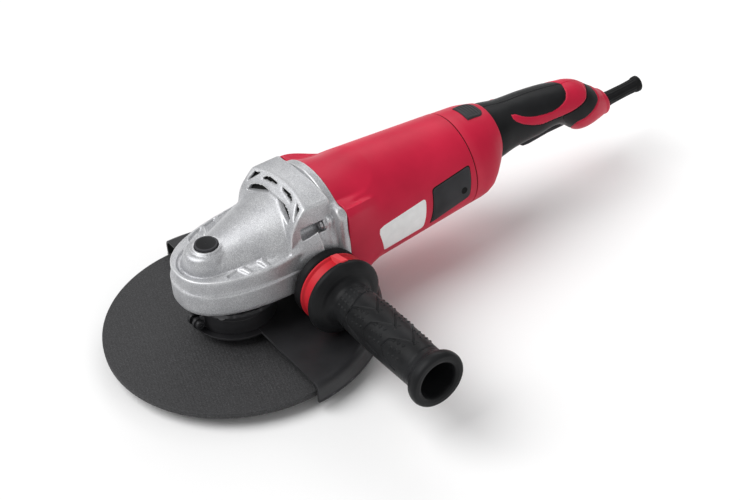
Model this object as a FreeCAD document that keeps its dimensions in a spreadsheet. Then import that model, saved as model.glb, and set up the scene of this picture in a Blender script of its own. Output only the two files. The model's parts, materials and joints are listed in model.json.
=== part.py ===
# Two-handed angle grinder for 230 mm discs, as a parametric FreeCAD document.
# Millimetres. +Z runs up the spindle from its free end, +Y back along the motor to the rear
# handle, and +X out along the side handle. The origin is the centre of the spindle's free end.
import FreeCAD
import Part
import Sketcher

import math
import os

V = FreeCAD.Vector

# ---------------------------------------------------------------- driving dimensions
SIZES = {
    # disc and its clamping
    "disc_radius": 115.0,
    "disc_thickness": 6.0,
    "disc_top": 16.0,
    "disc_bore": 11.115,
    "thread_radius": 7.0,
    "pilot_radius": 6.5,
    "pilot_length": 3.5,
    "nut_thickness": 6.0,
    "nut_radius": 20.0,
    "flange_radius": 21.0,
    "flange_thickness": 5.0,
    # guard
    "guard_radius": 122.0,
    "guard_top": 27.5,
    "guard_sheet": 2.0,
    "guard_drop": 18.5,
    "collar_radius": 30.3,
    "collar_wall": 3.2,
    "collar_top": 43.0,
    # spindle, bearings and bevel gears
    "spindle_radius": 7.5,
    "journal_radius": 5.0,
    "spindle_top": 93.0,
    "motor_height": 76.0,
    "shaft_radius": 6.0,
    "crown_teeth": 43.0,
    "pinion_teeth": 11.0,
    "crown_radius": 32.0,
    "tooth_width": 9.0,
    "tooth_addendum": 0.9,
    "tooth_dedendum": 1.3,
    "gear_bottom": 52.0,
    "lock_radius": 19.0,
    "lock_pin_radius": 3.0,
    "lock_travel": 6.0,
    "lock_button_radius": 9.5,
    # gear housing
    "head_radius": 46.5,
    "head_centre": -3.0,
    "head_floor": 56.0,
    "head_rim": 78.0,
    "head_deck": 91.0,
    "nose_radius": 20.5,
    "nose_centre": -21.0,
    "nose_top": 102.0,
    "spine_front_radius": 24.0,
    "spine_rear_radius": 42.5,
    "spine_rear": 50.0,
    "cavity_radius": 36.0,
    "cavity_top": 84.0,
    "shroud_rear": 84.0,
    "shroud_radius": 50.0,
    "shroud_height": 80.0,
    "shroud_hollow": 43.0,
    # motor housing
    "barrel_front_radius": 50.5,
    "barrel_rear_radius": 43.8,
    "barrel_rear": 222.0,
    "barrel_wall": 3.5,
    "core_radius": 25.0,
    "core_front": 112.0,
    "core_rear": 162.0,
    "fan_radius": 40.0,
    "brush_station": 193.0,
    "commutator_radius": 14.0,
    "bearing_station": 214.0,
    "shaft_front": 20.0,
    "shaft_rear": 225.0,
    # side handle
    "side_station": 57.0,
    "side_height": 62.0,
    "side_flange_radius": 33.0,
    "side_grip_radius": 18.6,
    "side_end": 209.0,
    # rear handle
    "cap_front": 222.8,
    "cap_rear": 262.0,
    "grip_rear": 366.0,
    "handle_rear": 401.0,
    "handle_wall": 3.5,
    "boot_height": 62.0,
    "boot_rear": 443.0,
    "cord_bore": 4.0,
    "trigger_pivot": 347.0,
    "trigger_height": 60.0,
}

doc = FreeCAD.newDocument("angle_grinder")
sheet = doc.addObject("Spreadsheet::Sheet", "Sizes")
for row, (alias, size) in enumerate(SIZES.items(), start=1):
    sheet.set("A%d" % row, alias)
    sheet.set("B%d" % row, str(size))
    sheet.setAlias("B%d" % row, alias)
doc.recompute()

nodes = []


# ---------------------------------------------------------------- formulas and placement
def formula(text):
    """A sum such as 'disc_top - 3' as an expression on the sheet's cells."""
    words = str(text).split()
    return " ".join("Sizes." + word if word in SIZES else word for word in words)


def amount(text):
    """The same sum as a number of millimetres."""
    total = 0.0
    sign = 1.0
    for word in str(text).split():
        if word in ("+", "-"):
            sign = 1.0 if word == "+" else -1.0
        else:
            total += sign * (SIZES[word] if word in SIZES else float(word))
    return total


def bind(thing, **sizes):
    """Bind properties of a document object to formulas on the sheet."""
    for name, text in sizes.items():
        setattr(thing, name, amount(text))
        thing.setExpression(name, formula(text))


def put(thing, at=(0, 0, 0), turn=None):
    """Place an object: a turn about the row's axes, then a base point bound to the sheet."""
    turn = turn or FreeCAD.Rotation()
    thing.Placement = FreeCAD.Placement(V(*[amount(part) for part in at]), turn)
    for axis, part in zip("xyz", at):
        thing.setExpression("Placement.Base." + axis, formula(part))
    return thing


ALONG = {
    "x": FreeCAD.Rotation(V(0, 1, 0), 90),
    "y": FreeCAD.Rotation(V(1, 0, 0), -90),
    "z": FreeCAD.Rotation(),
}


def node(thing, label):
    """Name a finished sub-part; the label names its file."""
    thing.Label = label
    nodes.append(thing)
    return thing


# ---------------------------------------------------------------- building blocks
def rod(along, radius, length, at):
    """A cylinder from a base point along +x, +y or +z."""
    thing = doc.addObject("Part::Cylinder", "Rod")
    bind(thing, Radius=radius, Height=length)
    return put(thing, at, ALONG[along])


def taper(along, radius, far_radius, length, at):
    """A cone frustum from a base point along +x, +y or +z."""
    thing = doc.addObject("Part::Cone", "Taper")
    bind(thing, Radius1=radius, Radius2=far_radius, Height=length)
    return put(thing, at, ALONG[along])


def block(size, at):
    """A box from its lowest corner."""
    thing = doc.addObject("Part::Box", "Block")
    bind(thing, Length=size[0], Width=size[1], Height=size[2])
    return put(thing, at)


def joined(*things):
    """One solid from several that overlap or touch."""
    thing = doc.addObject("Part::MultiFuse", "Joined")
    thing.Shapes = list(things)
    thing.Refine = True
    return thing


def group(*things):
    """Several separate solids kept in one node, such as a set of screws."""
    thing = doc.addObject("Part::Compound", "Group")
    thing.Links = list(things)
    return thing


def less(base, *tools):
    """A solid with tools cut away."""
    thing = doc.addObject("Part::Cut", "Less")
    thing.Base = base
    thing.Tool = tools[0] if len(tools) == 1 else group(*tools)
    return thing


def common(base, tool):
    """What two solids share."""
    thing = doc.addObject("Part::Common", "Shared")
    thing.Base = base
    thing.Tool = tool
    return thing


def turned(along, profile, at=(0, 0, 0)):
    """A body turned about x, y or z. Profile points are (radius, distance along the axis)."""
    body = doc.addObject("PartDesign::Body", "Turned")
    sketch = body.newObject("Sketcher::SketchObject", "Profile")
    role = "YZ_Plane" if along == "y" else "XZ_Plane"
    plane = [item for item in body.Origin.OriginFeatures if item.Role == role][0]
    sketch.AttachmentSupport = [(plane, "")]
    sketch.MapMode = "FlatFace"
    if along == "z":
        places = [(radius, distance) for radius, distance in profile]
    else:
        places = [(distance, radius) for radius, distance in profile]
    corners = [V(amount(across), amount(up), 0) for across, up in places]
    for index, corner in enumerate(corners):
        sketch.addGeometry(Part.LineSegment(corner, corners[(index + 1) % len(corners)]), False)
    for index in range(len(corners)):
        following = (index + 1) % len(corners)
        sketch.addConstraint(Sketcher.Constraint("Coincident", index, 2, following, 1))
    for index, place in enumerate(places):
        for kind, text in zip(("DistanceX", "DistanceY"), place):
            size = Sketcher.Constraint(kind, -1, 1, index, 1, amount(text))
            slot = sketch.addConstraint(size)
            sketch.setExpression("Constraints[%d]" % slot, formula(text))
    spin = body.newObject("PartDesign::Revolution", "Spin")
    spin.Profile = sketch
    spin.ReferenceAxis = (sketch, ["V_Axis" if along == "z" else "H_Axis"])
    spin.Angle = 360
    return put(body, at)


def ring(along, inner, outer, start, end, at=(0, 0, 0)):
    """A plain ring about x, y or z between two stations."""
    corners = [(inner, start), (outer, start), (outer, end), (inner, end)]
    return turned(along, corners, at)


def around(count, radius, start=0.0):
    """Angles in radians and points evenly round a circle."""
    for index in range(count):
        angle = math.radians(start + 360.0 * index / count)
        yield angle, radius * math.cos(angle), radius * math.sin(angle)


def ball_bearing(name, along, bore, outer, width, start, at, balls=8):
    """A deep-groove ball bearing as its three pieces: outer ring, balls and inner ring."""
    pitch = (bore + outer) / 2
    ball = (outer - bore) * 0.28
    land = (outer - bore) * 0.2
    end = "%s + %.2f" % (start, width)
    node(ring(along, outer - land, outer, start, end, at), name + "_outer_ring")
    node(ring(along, bore, bore + land, start, end, at), name + "_inner_ring")
    middle = amount(start) + width / 2
    spheres = []
    for _, one, two in around(balls, pitch):
        sphere = doc.addObject("Part::Sphere", "Ball")
        sphere.Radius = ball
        local = (one, two, middle) if along == "z" else (one, middle, two)
        base = [amount(part) + shift for part, shift in zip(at, local)]
        put(sphere, ["%.4f" % value for value in base])
        spheres.append(sphere)
    node(group(*spheres), name + "_balls")


def oval_loft(sections, inset=0.0):
    """A solid lofted along y through ovals of (station, centre height, half width, half height)."""
    rims = []
    for station, height, half_width, half_height in sections:
        wide = half_width - inset
        tall = half_height - inset
        rim = doc.addObject("Part::Ellipse", "Rim")
        rim.MajorRadius = max(wide, tall) + 0.001
        rim.MinorRadius = min(wide, tall)
        turn = ALONG["y"]
        if tall > wide:
            turn = FreeCAD.Rotation(V(0, 1, 0), 90) * turn
        put(rim, (0, station, height), turn)
        rims.append(rim)
    loft = doc.addObject("Part::Loft", "Hull")
    loft.Sections = rims
    loft.Solid = True
    return loft


AXIS = (0, 0, 0)
MOTOR = (0, 0, "motor_height")
SIDE = (0, "side_station", "side_height")

# ---------------------------------------------------------------- disc, flanges and spindle
disc = ring("z", "disc_bore", "disc_radius", "disc_top - disc_thickness", "disc_top")
node(disc, "grinding_disc")

spigot = [
    ("thread_radius + 0.02", "disc_top - 3"),
    ("disc_bore - 0.05", "disc_top - 3"),
    ("disc_bore - 0.05", "disc_top"),
    ("flange_radius", "disc_top"),
    ("flange_radius", "disc_top + 3"),
    ("flange_radius - 4", "disc_top + flange_thickness"),
    ("thread_radius + 0.02", "disc_top + flange_thickness"),
]
node(turned("z", spigot), "inner_flange")

nut_bottom = "disc_top - disc_thickness - nut_thickness"
nut_top = "disc_top - disc_thickness"
nut_profile = [
    ("thread_radius + 0.02", nut_bottom),
    ("nut_radius - 6", nut_bottom),
    ("nut_radius", nut_bottom + " + 3"),
    ("nut_radius", nut_top),
    ("thread_radius + 0.02", nut_top),
]
pin_holes = [
    rod("z", 2.5, 5, ("%.4f" % across, "%.4f" % back, nut_bottom + " - 1"))
    for _, across, back in around(4, 15.0, 45)
]
node(less(turned("z", nut_profile), *pin_holes), "clamp_nut")

collar_bottom = "disc_top + flange_thickness"
spindle_profile = [
    (0, 0),
    ("pilot_radius", 0),
    ("pilot_radius", "pilot_length"),
    ("thread_radius", "pilot_length"),
    ("thread_radius", collar_bottom),
    ("spindle_radius + 3.5", collar_bottom),
    ("spindle_radius + 3.5", "guard_top + 4"),
    ("spindle_radius", "guard_top + 4"),
    ("spindle_radius", "motor_height - 10"),
    ("journal_radius", "motor_height - 10"),
    ("journal_radius", "spindle_top - 1"),
    ("journal_radius - 1", "spindle_top"),
    (0, "spindle_top"),
]
node(turned("z", spindle_profile), "spindle")


# ---------------------------------------------------------------- straight bevel gears
def bevel_gear(teeth, radius, mate_radius, bore, hub, back, lock_holes=0):
    """A bevel gear on +z whose cone apex is at the origin and whose teeth face +z.

    Radius is the pitch radius at the teeth's outer end, and mate_radius the other gear's, so the
    pitch cone's rim lies at z = -mate_radius. Each tooth is a wedge that shrinks to the apex.
    Lock holes, when there are any, take the spindle lock's pin and lie half a tooth back.
    """
    slant = math.hypot(radius, mate_radius)
    cosine = mate_radius / slant
    sine = radius / slant
    inner = 1.0 - SIZES["tooth_width"] / slant
    addendum = SIZES["tooth_addendum"]
    dedendum = SIZES["tooth_dedendum"]
    pitch = 2 * math.pi * radius / teeth

    def on_back_cone(offset, across):
        """A point off the pitch cone by offset, at a sideways distance, at the outer end."""
        return V(radius + offset * cosine, across, -mate_radius + offset * sine)

    def wedge(outline):
        """A solid between an outline and its copy shrunk towards the apex."""
        shrunk = [point * inner for point in outline]
        loops = [outline, shrunk]
        for index, point in enumerate(outline):
            after = (index + 1) % len(outline)
            loops.append([point, outline[after], shrunk[after], shrunk[index]])
        faces = [Part.Face(Part.makePolygon(loop + loop[:1])) for loop in loops]
        return Part.makeSolid(Part.makeShell(faces))

    flank = math.tan(math.radians(20))
    root = 0.36 * pitch + 2 * (dedendum + 0.4) * flank
    tip = 0.36 * pitch - 2 * addendum * flank
    outline = [
        on_back_cone(-dedendum - 0.4, -root / 2),
        on_back_cone(-dedendum - 0.4, root / 2),
        on_back_cone(addendum, tip / 2),
        on_back_cone(addendum, -tip / 2),
    ]
    tooth = wedge(outline)
    rim = on_back_cone(-dedendum, 0) * 1.02
    heel = on_back_cone(-dedendum, 0) * (inner - 0.03)
    section = [
        V(bore, 0, heel.z),
        V(heel.x, 0, heel.z),
        V(rim.x, 0, rim.z),
        V(rim.x, 0, rim.z - 3),
        V(hub, 0, rim.z - 4),
        V(hub, 0, -back),
        V(bore, 0, -back),
    ]
    face = Part.Face(Part.makePolygon(section + section[:1]))
    blank = face.revolve(V(0, 0, 0), V(0, 0, 1), 360)
    copies = []
    for index in range(teeth):
        copy = tooth.copy()
        copy.rotate(V(0, 0, 0), V(0, 0, 1), 360.0 * index / teeth)
        copies.append(copy)
    gear = blank.fuse(copies)
    hole_radius = SIZES["lock_pin_radius"] + 0.4
    for _, across, aside in around(lock_holes, SIZES["lock_radius"], -180.0 / teeth):
        gear = gear.cut(Part.makeCylinder(hole_radius, back, V(across, aside, -back)))
    return gear


crown_teeth = int(SIZES["crown_teeth"])
pinion_teeth = int(SIZES["pinion_teeth"])
pinion_radius = SIZES["crown_radius"] * pinion_teeth / crown_teeth

crown = doc.addObject("Part::Feature", "Crown")
crown.Shape = bevel_gear(
    crown_teeth,
    SIZES["crown_radius"],
    pinion_radius,
    SIZES["spindle_radius"] + 0.02,
    13.0,
    SIZES["motor_height"] - SIZES["gear_bottom"],
    lock_holes=8,
)
half_tooth = FreeCAD.Rotation(V(0, 0, 1), 90.0 + 180.0 / crown_teeth)
node(put(crown, MOTOR, half_tooth), "crown_gear")

pinion = doc.addObject("Part::Feature", "Pinion")
pinion.Shape = bevel_gear(
    pinion_teeth,
    pinion_radius,
    SIZES["crown_radius"],
    SIZES["shaft_radius"] - 1.48,
    7.5,
    43.0,
)
face_crown = FreeCAD.Rotation(V(1, 0, 0), 90) * FreeCAD.Rotation(V(0, 0, 1), -90)
node(put(pinion, MOTOR, face_crown), "pinion_gear")

# ---------------------------------------------------------------- armature
shaft_profile = [
    (0, "shaft_front"),
    ("shaft_radius - 1.5", "shaft_front"),
    ("shaft_radius - 1.5", 43),
    ("shaft_radius", 43),
    ("shaft_radius", 57),
    ("shaft_radius + 2", 57),
    ("shaft_radius + 2", "bearing_station"),
    ("shaft_radius - 1", "bearing_station"),
    ("shaft_radius - 1", "shaft_rear"),
    (0, "shaft_rear"),
]
node(turned("y", shaft_profile, MOTOR), "armature_shaft")
shaft_seat = "shaft_radius + 2.02"
slots = []
for angle, across, up in around(12, SIZES["core_radius"]):
    slots.append(rod("y", 2.2, 60, ("%.4f" % across, "core_front - 5", "motor_height + %.4f" % up)))
core_blank = ring("y", shaft_seat, "core_radius", "core_front", "core_rear", MOTOR)
node(less(core_blank, *slots), "armature_core")
windings = [
    ring("y", shaft_seat, "core_radius - 4", "core_front - 11", "core_front - 0.02", MOTOR),
    ring("y", shaft_seat, "core_radius - 4", "core_rear + 0.02", "core_rear + 11", MOTOR),
]
node(group(*windings), "armature_windings")
commutator_ends = ("brush_station - 9", "brush_station + 9")
node(ring("y", shaft_seat, "commutator_radius", *commutator_ends, MOTOR), "commutator")

blades = []
for angle, across, up in around(15, 30):
    blade = block((16, 9, 1.6), (0, 0, 0))
    spin = FreeCAD.Rotation(V(0, 1, 0), -math.degrees(angle))
    corner = V(across, 0, up) + spin.multVec(V(-8, 0, -0.8))
    base = ("%.4f" % corner.x, 87, "motor_height + %.4f" % corner.z)
    blades.append(put(blade, base, spin))
fan_hub = [
    (shaft_seat, 86),
    ("fan_radius", 86),
    ("fan_radius", 88),
    (14, 88),
    (12, 96),
    (shaft_seat, 96),
]
node(joined(turned("y", fan_hub, MOTOR), *blades), "cooling_fan")

# ---------------------------------------------------------------- bearings
ball_bearing("spindle_bearing", "z", 7.52, 17.48, 11.0, "guard_top + 6.5", AXIS)
ball_bearing("top_bearing", "z", 5.02, 12.98, 8.0, "cavity_top + 0.5", AXIS)
ball_bearing("pinion_bearing", "y", 6.02, 15.98, 10.0, "44", MOTOR)
ball_bearing("rear_bearing", "y", 5.02, 14.98, 9.0, "bearing_station + 0.5", MOTOR)

# ---------------------------------------------------------------- gear housing
head = joined(
    rod("z", "head_radius", "head_rim - head_floor", (0, "head_centre", "head_floor")),
    rod("z", "head_radius - 1.5", "head_deck - head_floor", (0, "head_centre", "head_floor")),
    block(
        ("head_radius + head_radius", "70 - head_centre", "head_rim - head_floor"),
        ("0 - head_radius", "head_centre", "head_floor"),
    ),
    block(
        ("head_radius + head_radius - 3", "70 - head_centre", "head_deck - head_floor"),
        ("1.5 - head_radius", "head_centre", "head_floor"),
    ),
    rod("z", "nose_radius", "nose_top - head_floor", (0, "nose_centre", "head_floor")),
    rod(
        "z",
        "lock_button_radius + 2.5",
        "nose_top + 2.5 - head_floor",
        (0, "0 - lock_radius", "head_floor"),
    ),
    taper(
        "y",
        "spine_front_radius",
        "spine_rear_radius",
        "spine_rear - nose_centre",
        (0, "nose_centre", "shroud_height"),
    ),
    taper("y", "spine_rear_radius - 1", "shroud_radius", 8, (0, "spine_rear - 2", "shroud_height")),
    rod("y", "shroud_radius", "shroud_rear - 56", (0, 56, "shroud_height")),
    rod("x", 15, 104, (-52, "side_station", "side_height")),
)
lower_waste = block((200, 120, "head_floor"), (-100, -75, 0))
screw_places = [(side * 38.5, level * 26.0) for side in (-1, 1) for level in (-1, 1)]


def screw_holes(radius, length, station):
    """Drill along +y at the four corner screws."""
    return [
        rod("y", radius, length, (across, station, "shroud_height + %.1f" % up))
        for across, up in screw_places
    ]


hollow = [
    rod("z", "cavity_radius", "cavity_top - head_floor + 1", (0, 0, "head_floor - 1")),
    rod("z", 13, 10, (0, 0, "cavity_top - 1")),
    rod("z", "lock_pin_radius + 0.2", 30, (0, "0 - lock_radius", "cavity_top - 5")),
    rod("z", "lock_button_radius + 0.3", 20, (0, "0 - lock_radius", "nose_top - 8")),
    rod("y", 12, 30, (0, 16, "motor_height")),
    rod("y", 16, 11, (0, 44, "motor_height")),
    rod("y", 20.1, 12, (0, 54, "motor_height")),
    rod("y", "shroud_hollow", 30, (0, 62, "motor_height")),
    rod("y", "shroud_hollow", 30, (0, 62, "shroud_height + 2")),
    rod("x", 5.9, 20, (-53, "side_station", "side_height")),
    rod("x", 7, 20, (33, "side_station", "side_height")),
]
vents = []
for turn, span in ((6, 20), (32, 18), (60, 12)):
    for side in (-1, 1):
        sector = doc.addObject("Part::Cylinder", "Sector")
        bind(sector, Radius="shroud_hollow", Height=20)
        sector.Angle = span
        start = -turn - span - 90 if side > 0 else turn - 90
        spin = FreeCAD.Rotation(V(0, 1, 0), -start) * ALONG["y"]
        put(sector, (0, 45, "shroud_height + 2"), spin)
        core = rod("y", "shroud_hollow - 4", 22, (0, 44, "shroud_height + 2"))
        vents.append(less(sector, core))
pockets = screw_holes(5.5, 22, 48)
gear_shell = less(head, *hollow, *vents, *pockets, *screw_holes(2.2, 20, 66))
node(common(gear_shell, joined(
    block((220, 125, 100), (-110, -75, "head_floor")),
    block((220, 37, 100), (-110, 47, "guard_top + 3")),
)), "gear_housing")

node(ring("y", 9, 20, 54.1, 57, MOTOR), "bearing_retainer")

cover_profile = [
    (17.5, "guard_top + 6.4"),
    (12.5, "guard_top + 6.4"),
    (12.5, "guard_top + 1"),
    ("collar_radius - 1", "guard_top + 1"),
    ("collar_radius - 0.3", "guard_top + 2"),
    ("collar_radius - 0.3", "collar_top + 1"),
    ("collar_radius + 5.2", "collar_top + 1"),
    ("collar_radius + 5.2", "head_floor - 3"),
    ("cavity_radius + 7", "head_floor - 3"),
    ("cavity_radius + 7", "head_floor - 0.05"),
    ("cavity_radius - 0.3", "head_floor - 0.05"),
    ("cavity_radius - 0.3", "head_floor + 3"),
    ("cavity_radius - 4", "head_floor + 3"),
    ("cavity_radius - 4", "head_floor - 6"),
    (17.5, "head_floor - 6"),
]
cover_screws = []
cover_holes = []
for _, across, back in around(4, 39.5, 45):
    spot = ("%.4f" % across, "%.4f" % back)
    cover_holes.append(rod("z", 2.1, 6, spot + ("head_floor - 4",)))
    cover_screws.append(joined(
        rod("z", 3.4, 1.6, spot + ("head_floor - 4.7",)),
        rod("z", 2, 3, spot + ("head_floor - 3.2",)),
    ))
node(less(turned("z", cover_profile), *cover_holes), "bearing_cover")
node(group(*cover_screws), "cover_screws")
node(ring("z", 11.3, 12.3, "guard_top + 1.2", "guard_top + 5.5"), "spindle_seal")

corner_screws = []
for head_rod, shank in zip(screw_holes(4.2, 4, 66), screw_holes(2, 30, 70)):
    corner_screws.append(joined(head_rod, shank))
node(group(*corner_screws), "housing_screws")

# ---------------------------------------------------------------- spindle lock
pin_length = "nose_top - motor_height + 5"
lock_stack = joined(
    rod("z", "lock_button_radius", 6, (0, "0 - lock_radius", "nose_top - 1.5")),
    rod("z", "lock_pin_radius", pin_length, (0, "0 - lock_radius", "motor_height - 4")),
)
node(lock_stack, "spindle_lock_button")
lock_spring = ring(
    "z",
    "lock_pin_radius + 0.6",
    "lock_pin_radius + 3",
    "nose_top - 7.9",
    "nose_top - 1.6",
    (0, "0 - lock_radius", 0),
)
node(lock_spring, "spindle_lock_spring")

# ---------------------------------------------------------------- guard
guard_bottom = "guard_top - guard_drop"
guard_shell = turned("z", [
    ("collar_radius", "guard_top - guard_sheet"),
    ("guard_radius - 8 ", "guard_top - guard_sheet"),
    ("guard_radius - 4.5", "guard_top - guard_sheet - 1"),
    ("guard_radius - 2.3", "guard_top - guard_sheet - 4"),
    ("guard_radius - 2", "guard_top - guard_sheet - 7"),
    ("guard_radius - 2", guard_bottom + " + 2"),
    ("guard_radius - 4", guard_bottom + " + 2"),
    ("guard_radius - 4", guard_bottom),
    ("guard_radius - 1", guard_bottom),
    ("guard_radius", guard_bottom + " + 1"),
    ("guard_radius", "guard_top - 7"),
    ("guard_radius - 1", "guard_top - 3.5"),
    ("guard_radius - 3.5", "guard_top - 1"),
    ("guard_radius - 7", "guard_top"),
    ("collar_radius", "guard_top"),
])
front_waste = less(
    block((300, 150, 60), (-150, -150, 0)),
    rod("z", "collar_radius + 9", 60, (0, 0, 0)),
)
node(less(guard_shell, front_waste), "guard")
band = ring("z", "collar_radius", "collar_radius + collar_wall", "guard_top + 0.02", "collar_top")
lugs = joined(
    block((3, 12.5, 11), (-5, "0 - collar_radius - 12.5", "guard_top + 2")),
    block((3, 12.5, 11), (2, "0 - collar_radius - 12.5", "guard_top + 2")),
    band,
)
slit = block((4, 12, 30), (-2, "0 - collar_radius - 8", "guard_top - 5"))
clamp_hole = rod("x", 2.6, 20, (-10, "0 - collar_radius - 8.2", "guard_top + 7.5"))
node(less(lugs, slit, clamp_hole), "guard_collar")
node(joined(
    rod("x", 2.5, 16, (-8, "0 - collar_radius - 8.2", "guard_top + 7.5")),
    rod("x", 4, 3.4, (5.1, "0 - collar_radius - 8.2", "guard_top + 7.5")),
    rod("x", 4, 3, (-8.1, "0 - collar_radius - 8.2", "guard_top + 7.5")),
), "guard_clamp_screw")

# ---------------------------------------------------------------- motor housing and stator
barrel_profile = [
    ("barrel_front_radius - 5", "shroud_rear + 0.05"),
    ("barrel_front_radius + 1.5", "shroud_rear + 0.05"),
    ("barrel_front_radius + 1.5", "shroud_rear + 7"),
    ("barrel_front_radius", "shroud_rear + 9"),
    ("barrel_rear_radius", "barrel_rear"),
    ("barrel_rear_radius - 12", "barrel_rear"),
    ("barrel_rear_radius - 12", "barrel_rear + 6"),
    ("barrel_rear_radius - 15", "barrel_rear + 6"),
    ("barrel_rear_radius - 15", "barrel_rear + 1.5"),
    (15, "barrel_rear + 1.5"),
    (15, "barrel_rear - 8"),
    (18, "barrel_rear - 8"),
    (18, "barrel_rear - 2.5"),
    ("barrel_rear_radius - barrel_wall", "barrel_rear - 2.5"),
    ("barrel_front_radius - barrel_wall - 1", "shroud_rear + 20"),
    ("barrel_front_radius - 5", "shroud_rear + 18"),
]
barrel = turned("y", barrel_profile, MOTOR)
bosses = [
    rod("y", 5, 22, (across, "shroud_rear + 0.05", "shroud_height + %.1f" % up))
    for across, up in screw_places
]
tube_clear = rod("y", "fan_radius + 1.5", 40, (0, "shroud_rear - 2", "motor_height"))
belly = block((150, 58, "guard_top + 2.6"), (-75, 70, 0))
posts = [less(boss, tube_clear) for boss in bosses]
brow = less(
    rod("y", "shroud_radius + 1.5", 9, (0, "shroud_rear + 0.05", "shroud_height")),
    rod("y", "barrel_front_radius - 5", 40, (0, "shroud_rear - 2", "motor_height")),
)
belly_floor = common(
    rod("y", "barrel_front_radius - 1.5", 47, (0, "shroud_rear + 0.05", "motor_height")),
    block((150, 60, 5), (-75, 80, "guard_top + 1")),
)
shell = joined(barrel, brow, belly_floor, *posts)
node(less(shell, belly, *screw_holes(2.2, 40, 66)), "motor_housing")

node(ring("y", 26, 38.8, "core_front", "core_rear", MOTOR), "stator_core")
node(group(
    ring("y", 28, 37, "core_front - 10", "core_front - 0.05", MOTOR),
    ring("y", 28, 37, "core_rear + 0.05", "core_rear + 10", MOTOR),
), "stator_coils")
node(turned("y", [(37.6, 106.5), (42.4, 106.5), (42.4, 108.5), (39, 108.5)], MOTOR), "fan_baffle")

for label, inner, outer, tall in (
    ("brush_holders", 15.5, 39.0, 12),
    ("carbon_brushes", 14.05, 30.0, 8),
    ("brush_springs", 30.1, 38.5, 6),
):
    pair = []
    half = " - %.1f" % (tall / 2)
    for low in (-outer, inner):
        corner = (low, "brush_station" + half, "motor_height" + half)
        bar = block((outer - inner, tall, tall), corner)
        if label == "brush_holders":
            tunnel_corner = (low, "brush_station - 4.2", "motor_height - 4.2")
            bar = less(bar, block((outer, 8.4, 8.4), tunnel_corner))
        pair.append(bar)
    node(group(*pair), label)


def wrapped(start, end, low, high, lift, thickness):
    """Both plates that hug the barrel's sides: stations along y, heights, and their lift off it."""
    taper_start = SIZES["shroud_rear"] + 9
    slope = SIZES["barrel_rear_radius"] - SIZES["barrel_front_radius"]
    slope /= SIZES["barrel_rear"] - taper_start
    near = SIZES["barrel_front_radius"] + slope * (amount(start) - taper_start) + lift
    far = SIZES["barrel_front_radius"] + slope * (amount(end) - taper_start) + lift
    skin = turned("y", [
        ("%.4f" % near, start),
        ("%.4f" % (near + thickness), start),
        ("%.4f" % (far + thickness), end),
        ("%.4f" % far, end),
    ], MOTOR)
    return common(skin, group(
        block((60, 200, high - low), (10, 80, low)),
        block((60, 200, high - low), (-70, 80, low)),
    ))


node(wrapped("113", "165", 57, 88, 0.05, 0.8), "label_plates")
cover_screw_at = (-60, "brush_station + 13.4", "motor_height + 1.5")
cover_plates = wrapped("brush_station - 21", "brush_station + 23", 58, 95, 0.05, 2.2)
node(less(cover_plates, rod("x", 2.65, 120, cover_screw_at)), "brush_covers")
node(group(*[
    rod("x", 2.6, 1.8, (low,) + cover_screw_at[1:]) for low in (44.9, -46.7)
]), "brush_cover_screws")

# ---------------------------------------------------------------- side handle
node(rod("x", 6.9, 64, (35, "side_station", "side_height")), "side_handle_stud")
node(ring("x", 7, "side_flange_radius - 2", 52.1, 61, SIDE), "side_handle_base")
node(ring("x", 7, "side_flange_radius - 4", 61.05, 70, SIDE), "side_handle_ring")
node(turned("x", [
    (7, 70.05),
    ("side_flange_radius - 1", 70.05),
    ("side_flange_radius", 73),
    ("side_flange_radius - 1", 83),
    ("side_flange_radius - 8", 89),
    ("side_grip_radius - 1", 96),
    ("side_grip_radius", 109),
    ("side_grip_radius + 0.8", 139),
    ("side_grip_radius", 184),
    ("side_grip_radius + 1", 200),
    ("side_grip_radius + 5", "side_end - 4"),
    ("side_grip_radius + 4", "side_end"),
    ("side_grip_radius - 2", "side_end"),
    ("side_grip_radius - 3", "side_end - 30"),
    (0, "side_end - 30"),
    (0, 100),
    (7, 100),
], SIDE), "side_handle_grip")

# ---------------------------------------------------------------- rear handle
CAP = [
    ("cap_front", "motor_height", 43.4, 43.4),
    ("cap_front + 12", "motor_height - 0.5", 42.4, 42.4),
    ("cap_front + 24", "motor_height + 1", 39.5, 39.5),
    ("cap_front + 33", "motor_height + 7", 32.5, 33.0),
    ("cap_rear - 0.1", "motor_height + 12", 28.5, 28.0),
]
GRIP = [
    ("cap_rear + 0.05", "motor_height + 14", 26.0, 24.0),
    ("cap_rear + 20", "motor_height + 13", 24.0, 22.5),
    ("cap_rear + 50", "motor_height + 11.5", 22.5, 21.0),
    ("cap_rear + 80", "motor_height + 9", 22.0, 19.5),
    ("grip_rear", "motor_height - 1", 22.5, 23.5),
]
POMMEL = [
    ("grip_rear + 0.05", "motor_height - 1", 22.5, 23.5),
    ("grip_rear + 12", "motor_height - 4", 21.5, 20.0),
    ("handle_rear - 6", "motor_height - 13", 15.0, 13.0),
    ("handle_rear", "motor_height - 14", 10.0, 9.0),
]
cap_hollow = oval_loft([(station, up, wide - 4, tall - 4) for station, up, wide, tall in CAP])
cap_hollow = common(cap_hollow, block((200, 60, 200), (-100, "barrel_rear + 8", 0)))
well = block((22.6, 20.6, 20), (-11.3, "cap_front + 14.2", "motor_height + 30"))
front_bore = rod("y", "barrel_rear_radius - 11.9", 12, (0, "barrel_rear - 2", "motor_height"))
node(less(oval_loft(CAP), cap_hollow, well, front_bore), "rear_cap")

rotation_button = joined(
    block((22, 20, 7), (-11, "cap_front + 14.5", "motor_height + 35")),
    block((6, 6, 10), (-3, "cap_front + 21", "motor_height + 26")),
)
node(rotation_button, "rotation_lock_button")

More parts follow.
